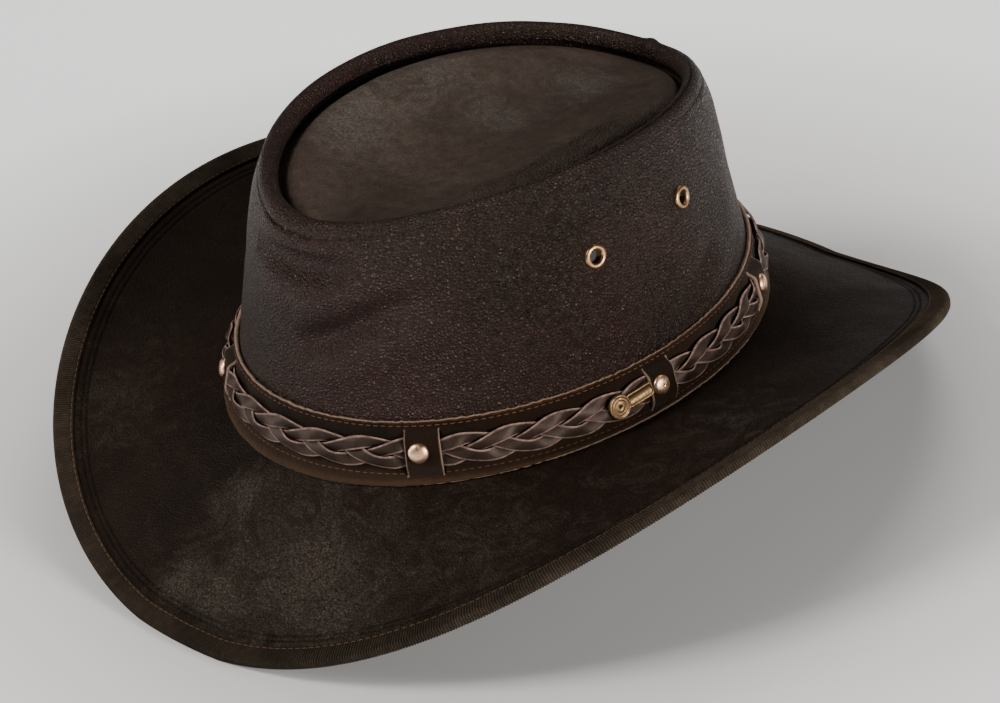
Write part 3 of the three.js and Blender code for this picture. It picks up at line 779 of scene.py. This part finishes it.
def make_brim():
    t = turns(BRIM_STEPS)
    s, width = brim_rows(t)
    top = brim_point(s, t[:, None])
    from_edge = (1 - s) * width + EDGE_REACH
    sunk = sum(GROOVE_DEPTH * np.exp(-((from_edge - g) / GROOVE_WIDTH) ** 2) for g in GROOVES)
    free = smooth_step(TAPE_WIDTH, BRIM_SWAY_FROM, from_edge) * smooth_step(0, 0.12, s)
    sway = wave(top, BRIM_SWAY_SIZE, BRIM_SWAY, 1) * free
    normal = surface_normal(brim_point, s, t[:, None])
    top = top + normal * (sunk - sway)[..., None]
    under = off_surface(brim_point, s[:, ::-UNDER_SKIP], t[:, None], BRIM_THICKNESS)
    shell = np.concatenate([top, under], 1)
    # The grooves' painted shade goes in the third place value.
    places = places_on(shell, top.shape[1], rubbed_at(top, RUBS), painted_shade_and_cut_side=GROOVE_SHADE * sunk / GROOVE_DEPTH)
    dress(add_shell("brim_leather", shell, BRIM, places), "brim_leather", "brim")


# Edge binding: a ribbed tape folded round the edge, and the stitches that hold it

RIB_PITCH = 1.0 * MM
RIB_DEPTH = 0.2 * MM
# Painted shade in the hollows between the ribs
RIB_SHADE = 0.4
RIB_SAMPLES = 4
HEM = 0.1 * MM
FOLD_POINTS = 7
FOLD_POWER = 0.8
LINE_SAMPLES = 4001


def rib_turns():
    """Turns at even distances along the brim's edge, a few for each rib."""
    t = np.linspace(0, 2 * math.pi, LINE_SAMPLES)
    lengths = running_lengths(brim_point(1.0, t))
    steps = round(lengths[-1] / RIB_PITCH) * RIB_SAMPLES
    return np.interp(np.arange(steps) / steps * lengths[-1], lengths, t)


def make_binding():
    t = rib_turns()
    start = binding_start(t)
    edge = brim_edge(t)
    rib = np.cos(np.arange(len(t)) / RIB_SAMPLES * 2 * math.pi) * RIB_DEPTH
    cover = TAPE_THICKNESS + TAPE_CLEARANCE
    half = BRIM_THICKNESS / 2 + cover
    normal = surface_normal(brim_point, 1.0, t)
    rows = (start, start * 0.66 + 0.34, start * 0.33 + 0.67)

    def at(s, down):
        return off_surface(brim_point, s, t, down)

    outside = [at(start, -TAPE_CLEARANCE - HEM)]
    outside += [at(s, -cover - rib) for s in rows]
    base = brim_point(1.0, t) + normal * BRIM_THICKNESS / 2
    grow = 1 + rib[:, None] / half
    for k in range(FOLD_POINTS):
        a = math.pi * (k / (FOLD_POINTS - 1) - 0.5)
        across = powered(math.sin(a), FOLD_POWER) * half
        past = max(math.cos(a), 0) ** FOLD_POWER * EDGE_REACH
        outside.append(base + (normal * across + edge * past) * grow)
    outside += [at(s, BRIM_THICKNESS + cover + rib) for s in reversed(rows)]
    inside = [at(start, BRIM_THICKNESS + TAPE_CLEARANCE)]
    inside.append(at(1.0, BRIM_THICKNESS + TAPE_CLEARANCE) + edge * BINDING_CLEARANCE)
    inside.append(at(1.0, -TAPE_CLEARANCE) + edge * BINDING_CLEARANCE)
    shell = np.stack(outside + inside, 1)
    shell[..., 2] = np.maximum(shell[..., 2], FLOOR)
    # Painted shade between the ribs.
    places = places_on(shell, shell.shape[1], painted_shade_and_cut_side=RIB_SHADE * (1 - rib / RIB_DEPTH)[:, None])
    dress(add_shell("binding_tape", shell, TAPE, places), "binding_leather", "edge_binding")


# One stitch, from end to end: places as shares of half its length, with its height and its thickness
# as shares of the thread's radius.
STITCH_ALONG = np.array([-1, -0.86, -0.5, 0, 0.5, 0.86, 1])
STITCH_HEIGHT = np.array([-0.75, 0.15, 0.8, 1.05, 0.8, 0.15, -0.75])
STITCH_THICK = np.array([0.25, 0.8, 1, 1, 1, 0.8, 0.25])
STITCH_SIDES = 7
EDGE_STITCH = {"spacing": 2.7 * MM, "length": 2.1 * MM, "radius": 0.17 * MM}
BAND_STITCH = {"spacing": 2.6 * MM, "length": 1.7 * MM, "radius": 0.16 * MM}
# From the tape's edge and from the band's top edge to the stitches
EDGE_STITCH_IN = 0.7 * MM
BAND_STITCH_IN = 1.4 * MM


def make_stitches(name, size, point_at, normal_at, material, slot):
    """A row of short stitches round the hat: point_at(share) and normal_at(share) give the line."""
    share = np.linspace(0, 1, LINE_SAMPLES)
    lengths = running_lengths(point_at(share))
    count = round(lengths[-1] / size["spacing"])
    middle = (np.arange(count) + 0.5) * lengths[-1] / count
    runs = np.interp(middle[:, None] + STITCH_ALONG * size["length"] / 2, lengths, share)
    normals = normal_at(np.interp(middle, lengths, share))
    paths = point_at(runs) + normals[:, None, :] * (STITCH_HEIGHT * size["radius"])[None, :, None]
    points, faces = strands(paths, STITCH_THICK * size["radius"], normals, STITCH_SIDES)
    dress(add_mesh(name, points, faces, material), slot)


def make_edge_stitches():
    cover = TAPE_THICKNESS + TAPE_CLEARANCE

    def spot(share):
        t = np.asarray(share) * 2 * math.pi
        return binding_start(t) + EDGE_STITCH_IN / brim_width(t), t

    def above(share):
        return off_surface(brim_point, *spot(share), -cover)

    def upward(share):
        return -surface_normal(brim_point, *spot(share))

    make_stitches("edge_stitches", EDGE_STITCH, above, upward, THREAD, "binding_leather")


# Crown

CROWN_STEPS = 520
CROWN_ROWS = np.concatenate([np.linspace(0, 1, 104), 1 + np.linspace(0, ROLL_END / math.pi, 34)[1:]])
INSIDE_SKIP = 3
CROWN_SWAY = 0.7 * MM
CROWN_SWAY_SIZE = 30 * MM
# The wall's seam lifts the roll at the back: turn and reach in degrees, and height
SEAM_TURN = 181
SEAM_WIDE = 3.2
SEAM_RISE = 0.9 * MM
# A sewn line along the near side of the crest, sunk as a groove with painted shade in it, which fades in and
# out between these turns
LINE_AT = 1.5
LINE_WIDE = 0.035
LINE_DEPTH = 0.9 * MM
LINE_TURNS = (44, 62, 132, 150)
# Where the crest is worn pale: turn and reach in degrees, and share
CREST_WEAR = ((108, 34, 1.0), (262, 40, 0.5))
# Depth at which the painted shade of a fold is darkest
FOLD_SHADE_DEPTH = 3.0 * MM
DRILL_SIDES = 32
DRILL_REACH = 6 * MM


def sewn_line(degrees, s):
    start, full, last, end = LINE_TURNS
    near = smooth_step(start, full, degrees) * smooth_step(end, last, degrees)
    return np.exp(-((s - LINE_AT) / LINE_WIDE) ** 2) * near


def crown_sway(outside, degrees, s, creases):
    """How far the leather stands out from its plain form."""
    free = smooth_step(0.28, 0.5, s) * (1 - 0.65 * smooth_step(0.95, 1.1, s))
    sway = wave(outside, CROWN_SWAY_SIZE, CROWN_SWAY, 2, 2) * free
    sway = sway - creases * smooth_step(0.22, 0.28, s)
    seam = ((degrees - SEAM_TURN + 180) % 360 - 180) / SEAM_WIDE
    on_roll = smooth_step(1.02, 1.3, s) * smooth_step(2.0, 1.7, s)
    sway = sway + SEAM_RISE * np.exp(-seam ** 2) * on_roll
    return sway - LINE_DEPTH * sewn_line(degrees, s)


def make_crown():
    t = turns(CROWN_STEPS)
    s, turn = np.broadcast_arrays(CROWN_ROWS[None], t[:, None])
    degrees = np.degrees(turn)
    creases = crease_depth(degrees, np.minimum(s, 1))
    depth = creases + dent_depth(degrees, np.minimum(s, 1))
    normal = surface_normal(crown_point, np.maximum(s, STEP), turn)
    outside = crown_point(s, turn)
    sway = crown_sway(outside, degrees, s, creases)[..., None]
    inside = (outside + normal * (sway - CROWN_LEATHER))[:, ::-INSIDE_SKIP]
    outside = outside + normal * sway
    outside[:, 0] = on_brim(CROWN_LEATHER, t)
    inside[:, -1] = on_brim(0.0, t)
    shell = np.concatenate([outside, inside], 1)
    crest = smooth_step(0.86, 0.97, s) * smooth_step(1.3, 1.08, s)
    worn = sum(share * np.exp(-((degrees - middle) / reach) ** 2) for middle, reach, share in CREST_WEAR)
    # Painted shade in the creases and dents of the wall, deeper ones darker, and along the sewn line.
    painted_shade_and_cut_side = 0.95 * np.clip(depth / FOLD_SHADE_DEPTH, 0, 1) * (s <= 1) + 0.9 * sewn_line(degrees, s)
    places = places_on(shell, len(CROWN_ROWS), crest * worn, painted_shade_and_cut_side=painted_shade_and_cut_side)
    # Painted shade over the inside of the crown.
    places[:, len(CROWN_ROWS):, 2] = 0.6
    piece = add_shell("crown_leather", shell, CROWN, places)
    for _, axes in eyelet_frames():
        drill_out(piece, axes, EYELET_BARREL + CLEARANCE)
    dress(piece, "crown_leather", "crown_wall")


def eyelet_frames():
    for side, sign in SIDES:
        for number, (turn, rise) in enumerate(EYELET_PLACES):
            axes = surface_frame(crown_point, rise, sign * math.radians(turn), 0)
            yield f"{side}_{number + 1}", axes


def drill_out(piece, axes, radius):
    """A round hole through the piece along the frame's normal."""
    sides = DRILL_SIDES
    a = turns(sides)
    disc = np.stack([np.cos(a) * radius, np.sin(a) * radius], -1)
    ends = [np.column_stack([disc, np.full(sides, z)]) for z in (-DRILL_REACH, DRILL_REACH)]
    points = in_frame(np.concatenate(ends), axes) - np.array([0, 0, FLOOR])
    faces = [list(range(sides))[::-1], list(range(sides, 2 * sides))]
    faces += [[i, (i + 1) % sides, sides + (i + 1) % sides, sides + i] for i in range(sides)]
    mesh = bpy.data.meshes.new("drill")
    mesh.from_pydata(points.tolist(), [], faces)
    tool = link("drill", mesh)
    cut = piece.modifiers.new("hole", "BOOLEAN")
    cut.operation = "DIFFERENCE"
    cut.solver = "EXACT"
    cut.object = tool
    apply_modifiers(piece)
    bpy.data.objects.remove(tool)


# Top panel

PANEL_STEPS = 400
PANEL_RINGS = 90
# Width of the hole at the middle of the rings, as a share of the panel
PANEL_HOLE = 0.004
# The panel swells within the seam, and sinks in a narrow gutter along it.
SWELL = 1.5 * MM
SWELL_ZONE = (3 * MM, 10 * MM)
GUTTER_DEPTH = 2.4 * MM
GUTTER_ZONE = (4.4 * MM, 2.4 * MM)
# Where shade is painted into the gutter
GUTTER_SHADE_ZONE = (4.6 * MM, 2.6 * MM)
PANEL_SWAY = 0.9 * MM
PANEL_SWAY_SIZE = 38 * MM
# A wrinkled bulge on the wearer's left, about this turn in degrees
BULGE_TURN = 88
BULGE_REACH = 34
BULGE_ZONE = (38 * MM, 22 * MM)
BULGE_RISE = 3.6 * MM
WRINKLE = 0.8 * MM
WRINKLE_SIZE = 6 * MM

# Pale patches of the panel, like those of the brim
PANEL_RUBS = (
    (-44, 24, 15, 0.7),
    (-48, -14, 18, 0.75),
    (-30, -30, 16, 0.5),
    (-11, 20, 12, 0.75),
    (-5, 58, 13, 0.65),
    (8, -30, 24, 0.2),
)


def make_panel():
    t = turns(PANEL_STEPS)
    share = np.linspace(1, PANEL_HOLE, PANEL_RINGS)[None]
    front, back = top_height(0.0), top_height(math.pi)
    lip = ROLL_HEIGHT * math.sin(ROLL_END)
    middle = (front + back) / 2 + lip
    tilt = (back - front) / TOP_LENGTH
    rim = grown_oval(OVALS["top"], TOP_LENGTH, TOP_WIDTH, 0, t, ROLL_INSET + CROWN_LEATHER)
    slanted = middle + tilt * rim[:, 1:2]
    bend = (top_height(t)[:, None] + lip - slanted) * share ** 2
    height = share * slanted + (1 - share) * middle + bend
    from_rim = (1 - share) * np.linalg.norm(rim, axis=1)[:, None]
    height = height + SWELL * smooth_step(*SWELL_ZONE, from_rim)
    height = height - GUTTER_DEPTH * smooth_step(*GUTTER_ZONE, from_rim)
    height = height - TOP_SAG * (1 - share ** 2) - CLEARANCE
    top = np.stack([rim[:, :1] * share, rim[:, 1:2] * share + TOP_SHIFT, height], -1)
    top[..., 2] += wave(top, PANEL_SWAY_SIZE, PANEL_SWAY, 3) * smooth_step(1.0, 0.86, share)
    bulge = np.exp(-((np.degrees(t)[:, None] - BULGE_TURN) / BULGE_REACH) ** 2)
    wrinkled = bulge * smooth_step(*BULGE_ZONE, from_rim)
    rise = BULGE_RISE + wave(top, WRINKLE_SIZE, WRINKLE, 8)
    top[..., 2] += rise * wrinkled * smooth_step(2.5 * MM, 7 * MM, from_rim)
    under = top[:, ::-2].copy()
    under[..., 2] -= TOP_LEATHER
    shell = np.concatenate([top, under], 1)
    # Painted shade in the gutter along the seam.
    sunk = smooth_step(*GUTTER_SHADE_ZONE, from_rim)
    places = places_on(shell, top.shape[1], rubbed_at(top, PANEL_RUBS), wrinkled, sunk)
    dress(add_shell("crown_panel", shell, PANEL, places), "top_leather", "crown_top")


# Hatband: one strap with a bridge between two slits at each stud

BAND_STEPS = 1200
FLARE_ROWS = 9
LOW_STITCH_ROW = 5
WALL_UP = 6 * MM
BEND_UP = 1.2 * MM
BAND_ROW = 0.5 * MM
# The middle of a bridge lies lower than its ends by this share of its rise
BRIDGE_SAG = 0.12
BAND_SWAY = 0.18 * MM
BAND_SWAY_SIZE = 9 * MM
FRAY = 0.35 * MM
FRAY_SIZE = 2.2 * MM
# How far the wear reaches in from the top edge, the foot and a slit, and a slit's cut side
TOP_WEAR = 1.5 * MM
FOOT_WEAR = 3.6 * MM
SLIT_WEAR = 1.4 * MM
CUT_SIDE = 0.5 * MM


def band_grid(share, outward=0.0):
    """Middle surface of the band: rows from its foot on the brim to its top edge."""
    t = turn_at(share)
    up = np.arange(WALL_UP, BAND_WIDTH + BAND_ROW / 2, BAND_ROW)
    level = CLEARANCE + BAND_LEATHER / 2 + outward
    wall = band_point(up[None], t[:, None], level)
    foot = on_brim(CROWN_LEATHER + BAND_FLARE + level, t)
    bend = band_point(BEND_UP, t, level)
    k = np.linspace(0, 1, FLARE_ROWS, endpoint=False)[None, :, None]
    flare = (1 - k) ** 2 * foot[:, None] + 2 * k * (1 - k) * bend[:, None] + k ** 2 * wall[:, :1]
    ups = np.concatenate([np.linspace(0, WALL_UP, FLARE_ROWS, endpoint=False), up])
    return np.concatenate([flare, wall], 1), ups, t


def bridge_arch(up):
    """How far a bridge is lifted over the braid, as a share, up its height."""
    off = np.abs(up - BRAID_MIDDLE) / (BRIDGE_HEIGHT / 2)
    return 1 - smooth_step(0.5, 1.0, off)


def make_band():
    share = np.arange(BAND_STEPS) / BAND_STEPS
    points, ups, t = band_grid(share)
    s = np.clip(ups[None] / wall_slope(t)[:, None], STEP, 1)
    normal = surface_normal(crown_point, s, t[:, None])
    half = BRIDGE_LENGTH / 2
    away = from_bridge(share)[:, None]
    bridge = away < half
    arch = bridge_arch(ups)[None]
    lift = BRIDGE_RISE * (1 - BRIDGE_SAG * (1 - np.clip(away / half, 0, 1) ** 2)) * bridge * arch
    sway = wave(points, BAND_SWAY_SIZE, BAND_SWAY, 4) * ~bridge
    points = points + normal * (lift + sway)[..., None]
    fray = wave(points, FRAY_SIZE, FRAY, 6)
    points[:, -1, 2] += fray[:, -1]
    points[:, -2, 2] += fray[:, -1] * 0.5
    points[:, 0] += unit(points[:, 0] * np.array([1, 1, 0])) * fray[:, 0, None]
    crossing = bridge != np.roll(bridge, -1, axis=0)
    slit = np.abs((ups[:-1] + ups[1:]) / 2 - BRAID_MIDDLE) < BRIDGE_HEIGHT / 2
    faces = ring_faces(BAND_STEPS, len(ups), closed=False)[~(crossing & slit).ravel()]
    edge = np.maximum(smooth_step(TOP_WEAR, 0, BAND_WIDTH - ups), smooth_step(FOOT_WEAR, 0, ups))
    near_slit = np.abs(away - half)
    edge = np.maximum(edge[None], 0.55 * smooth_step(SLIT_WEAR, 0, near_slit) * (arch > 0))
    cut = bridge & (near_slit < CUT_SIDE) & (arch > 0)
    places = np.stack(np.broadcast_arrays(cut, ups[None], edge), -1)
    piece = add_sheet("band_suede", points, faces, SUEDE, places)
    piece.data.materials.append(BAND_EDGE)
    thick = piece.modifiers.new("leather", "SOLIDIFY")
    thick.thickness = BAND_LEATHER
    thick.offset = 0
    thick.material_offset_rim = 1
    apply_modifiers(piece)
    dress(piece, "band_leather", "hatband")


def make_band_stitches():
    up = BAND_WIDTH - BAND_STITCH_IN

    def top(share):
        return band_point(up, turn_at(share), CLEARANCE + BAND_LEATHER)

    def low(share):
        grid, _, _ = band_grid(np.ravel(share), BAND_LEATHER / 2)
        return grid[:, LOW_STITCH_ROW].reshape(*np.shape(share), 3)

    def outward(share):
        t = turn_at(share)
        return surface_normal(crown_point, up / wall_slope(t), t)

    for name, line in (("top", top), ("low", low)):
        make_stitches(f"band_stitches_{name}", BAND_STITCH, line, outward, DARK_THREAD, "band_leather")


# Braid: three flat straps that run behind each bridge

SECTION = 14
STRAP_STEPS = 60
SIDE_POWER = 0.42
FACE_POWER = 0.8
STRAP_SWELL = 0.22 * MM
# Behind a bridge the plait is drawn in and flattened by these shares, which fade out past its ends.
DRAWN_IN = 0.14
FLATTENED = 0.42
DRAWN_ZONE = (BRIDGE_LENGTH / 2 + 4 * MM, BRIDGE_LENGTH / 2 - 3 * MM)


def make_braid():
    steps = BRAID_REPEATS * STRAP_STEPS
    cycle = np.arange(steps) / STRAP_STEPS
    a = turns(SECTION)
    side = powered(np.cos(a), SIDE_POWER)
    face = powered(np.sin(a), FACE_POWER) * (1 - 0.25 * side ** 2)
    repeat = BAND_TOTAL / BRAID_REPEATS
    drawn = smooth_step(*DRAWN_ZONE, from_bridge(cycle / BRAID_REPEATS))
    swing = (BRAID_WIDTH - STRAP_WIDTH) / 2 * (1 - DRAWN_IN * drawn)
    calm = 1 - FLATTENED * drawn[:, None]
    middle = BRAID_OUT + (BRIDGE_BRAID_OUT - BRAID_OUT) * drawn[:, None]
    for number in range(3):
        phase = (cycle + number / 3) * 2 * math.pi
        slant = np.arctan(-swing * np.sin(phase) * 2 * math.pi / repeat)
        along = -side * STRAP_WIDTH * np.sin(slant)[:, None] / 2
        across = side * STRAP_WIDTH * np.cos(slant)[:, None] / 2
        share = cycle[:, None] / BRAID_REPEATS + along / BAND_TOTAL
        lift = -STRAP_LIFT * np.sin(2 * phase)[:, None] + STRAP_TILT * np.sin(3 * phase)[:, None] * across
        out = middle + lift * calm + STRAP_SWELL * (1 - side ** 2) + face * STRAP_LEATHER / 2
        up = BRAID_MIDDLE + (swing * np.cos(phase))[:, None] + across
        points = band_point(up, turn_at(share), out)
        places = places_on(points, SECTION, painted_shade_and_cut_side=np.abs(side) ** 1.5)
        strap = add_shell(f"plait_strap_{number + 1}", points, STRAPS, places)
        dress(strap, "strap_leather", f"braid_strap_{number + 1}")


# Studs, eyelets and pin

# Radius at which a turned profile ends in its middle
HUB = 0.02 * MM
STUD_RIM = 0.25 * MM
STUD_GAP = 0.05 * MM
PIN_DIP = 0.35 * MM
PIN_BORDER = 0.6 * MM
PIN_SLOPE = 0.15 * MM
# Raised rings of the pin's disc, in mm in from its edge, the last as far as its middle
PIN_RINGS = ((0.25, 0.85), (1.45, 1.95), (2.5, 4.28))


def make_studs():
    out = CLEARANCE + BAND_LEATHER + BRIDGE_RISE * (1 - BRIDGE_SAG) + STUD_GAP
    profile = [(HUB, 0.0), (STUD_RADIUS * 0.96, 0.0), (STUD_RADIUS, 0.12 * MM)]
    for k in range(1, 12):
        a = math.pi / 2 * k / 12
        height = STUD_RIM + (STUD_HEIGHT - STUD_RIM) * math.sin(a)
        profile.append((STUD_RADIUS * math.cos(a) ** 0.8, height))
    profile.append((HUB, STUD_HEIGHT))
    points, faces = lathe(profile, 40)
    for side, sign in SIDES:
        for number, place in enumerate(STUD_PLACES):
            name = f"{side}_{number + 1}"
            set_in = in_frame(points, band_frame(sign * place, out))
            piece = add_mesh(f"rivet_{name}", set_in, faces, COPPER)
            dress(piece, "stud_metal", f"stud_{name}")


def make_eyelets():
    lip = (EYELET_RADIUS - EYELET_HOLE) / 2
    centre = EYELET_HOLE + lip
    low = -CROWN_LEATHER - 0.8 * MM
    profile = []
    for k in range(13):
        a = math.pi * k / 12
        profile.append((centre + lip * math.cos(a), 0.05 * MM + 0.95 * MM * math.sin(a)))
    profile += [(EYELET_HOLE, low), (EYELET_RADIUS, low), (EYELET_RADIUS, low + 0.5 * MM)]
    profile += [(EYELET_BARREL, low + 0.5 * MM), (EYELET_BARREL, -0.1 * MM), (EYELET_RADIUS, -0.1 * MM)]
    points, faces = lathe(profile, 48)
    for name, axes in eyelet_frames():
        piece = add_mesh(f"grommet_{name}", in_frame(points, axes), faces, BRASS)
        dress(piece, "eyelet_metal", f"eyelet_{name}")


def make_pin():
    r = PIN_DISC_RADIUS
    low = -PIN_THICKNESS / 2
    high = PIN_THICKNESS / 2
    sunk = high - PIN_DIP
    profile = [(HUB, low), (r - 0.2 * MM, low), (r, low + 0.2 * MM), (r, high - 0.2 * MM)]
    for start, end in PIN_RINGS:
        foot = max(r - end * MM - PIN_SLOPE, HUB)
        profile += [(r - start * MM, high), (r - end * MM, high), (foot, sunk)]
    disc, disc_faces = lathe(profile, 48)
    start, length, half = r * 0.8, PIN_BAR_LENGTH, PIN_BAR_WIDTH / 2
    inset = PIN_BORDER + 0.2 * MM
    outline = rounded_box(start, length, half, 1.0 * MM)
    inner = rounded_box(start, length - PIN_BORDER, half - PIN_BORDER, 0.6 * MM)
    floor = rounded_box(start, length - inset, half - inset, 0.5 * MM)
    hub = rounded_box(start, length, HUB, HUB / 2)
    levels = (
        (hub, low), (outline, low), (outline, high - PIN_SLOPE), (outline, high),
        (inner, high), (floor, sunk), (hub, sunk),
    )
    bar = np.stack([np.concatenate([ring, np.full((len(ring), 1), z)], 1) for ring, z in levels], 1)
    bar_faces = ring_faces(len(outline), len(levels), closed=False)
    points = np.concatenate([disc, bar.reshape(-1, 3)])
    faces = np.concatenate([disc_faces, bar_faces + len(disc)])
    cos, sin = math.cos(PIN_TURN), math.sin(PIN_TURN)
    points = points @ np.array([[cos, sin, 0], [-sin, cos, 0], [0, 0, 1]])
    axes = band_frame(PIN_PLACE, BRAID_OUT + 2.2 * MM)
    piece = add_mesh("pin_badge", in_frame(points, axes), faces, PIN_BRASS)
    dress(piece, "pin_metal", "hat_pin")


def rounded_box(start, end, half, corner):
    """Outline of a bar from start to end, with rounded corners."""
    points = []
    for cx, cy, first in ((end, half, 0), (start, half, 90), (start, -half, 180), (end, -half, 270)):
        for k in range(5):
            a = math.radians(first + 22.5 * k)
            x = cx - math.copysign(corner, math.cos(math.radians(first + 45))) + corner * math.cos(a)
            y = cy - math.copysign(corner, math.sin(math.radians(first + 45))) + corner * math.sin(a)
            points.append((x, y))
    return np.array(points)


make_brim()
make_binding()
make_edge_stitches()
make_crown()
make_panel()
make_band()
make_band_stitches()
make_braid()
make_studs()
make_eyelets()
make_pin()


# Floor, lights and camera

FLOOR_GLOW = 0.78
FLOOR_HALF = 6
WORLD_GLOW = 0.05
WARM = (1.0, 0.92, 0.84)
# Softboxes: a place, the point they face, width and height in metres and the power in watts
SOFTBOXES = {
    "key": ((-0.5, -1.0, 1.2), (0, 0, 0.06), (0.5, 0.4), 20),
    "front": ((-0.9, -1.05, 0.34), (0, 0, 0.08), (0.26, 0.22), 7),
    "side": ((1.38, 0.05, 0.4), (0, 0, 0.09), (0.7, 0.36), 27),
    "back": ((-0.35, 0.9, 1.35), (0, 0, 0.06), (0.8, 0.5), 6.5),
}
CAMERA_TURN = math.radians(46.9)
CAMERA_RISE = math.radians(30.61)
CAMERA_ROLL = math.radians(-6.345)
CAMERA_AWAY = 1.2
CAMERA_AIM = Vector((9.74 * MM, -10.28 * MM, 40.55 * MM))
CAMERA_LENS = 122.18


def make_floor():
    """A pale floor that glows a little, as painted light, with a painted shadow where the glow fades out
    under and around the hat.
    """
    f = Finish("floor_paint")
    f.set(Base_Color=f.mix(f.noise(3, 2, 0.5), (0.62, 0.65, 0.69), (0.63, 0.66, 0.69)))
    f.set(Roughness=0.7, Emission_Color=(1, 1, 1))
    away = f.add("ShaderNodeVectorMath", {0: f.at}, operation="LENGTH").outputs["Value"]
    # The glow is nil under the hat and full from 0.34 m out: a painted shadow round the hat.
    glow = f.ramp(away, (0.15, 0), (0.34, 1), (0.55, 1), (1.3, 0.45))
    f.set(Emission_Strength=f.times(glow, FLOOR_GLOW))
    mesh = bpy.data.meshes.new("floor")
    corners = [(x * FLOOR_HALF, y * FLOOR_HALF, 0) for x, y in ((-1, -1), (1, -1), (1, 1), (-1, 1))]
    mesh.from_pydata(corners, [], [(0, 1, 2, 3)])
    mesh.materials.append(f.material)
    floor = link("floor", mesh)


def make_lights():
    world = bpy.data.worlds.new("studio")
    world.use_nodes = True
    background = world.node_tree.nodes["Background"]
    background.inputs["Color"].default_value = (*WARM, 1)
    background.inputs["Strength"].default_value = WORLD_GLOW
    bpy.context.scene.world = world
    for name, (place, target, size, power) in SOFTBOXES.items():
        light = bpy.data.lights.new(name, "AREA")
        light.shape = "RECTANGLE"
        light.size, light.size_y = size
        light.energy = power
        light.color = WARM
        box = link(name, light)
        box.location = place
        box.rotation_euler = (Vector(target) - Vector(place)).to_track_quat("-Z", "Y").to_euler()


def make_camera():
    back = Vector((math.sin(CAMERA_TURN) * math.cos(CAMERA_RISE),
                   -math.cos(CAMERA_TURN) * math.cos(CAMERA_RISE),
                   math.sin(CAMERA_RISE)))
    right = Vector((math.cos(CAMERA_TURN), math.sin(CAMERA_TURN), 0))
    up = back.cross(right)
    level = Matrix((right, up, back)).transposed()
    turned = (level @ Matrix.Rotation(CAMERA_ROLL, 3, "Z")).to_4x4()
    data = bpy.data.cameras.new("camera")
    data.sensor_width = 36
    data.lens = CAMERA_LENS
    camera = link("camera", data)
    camera.matrix_world = Matrix.Translation(CAMERA_AIM + back * CAMERA_AWAY) @ turned
    bpy.context.scene.camera = camera


make_floor()
make_lights()
make_camera()
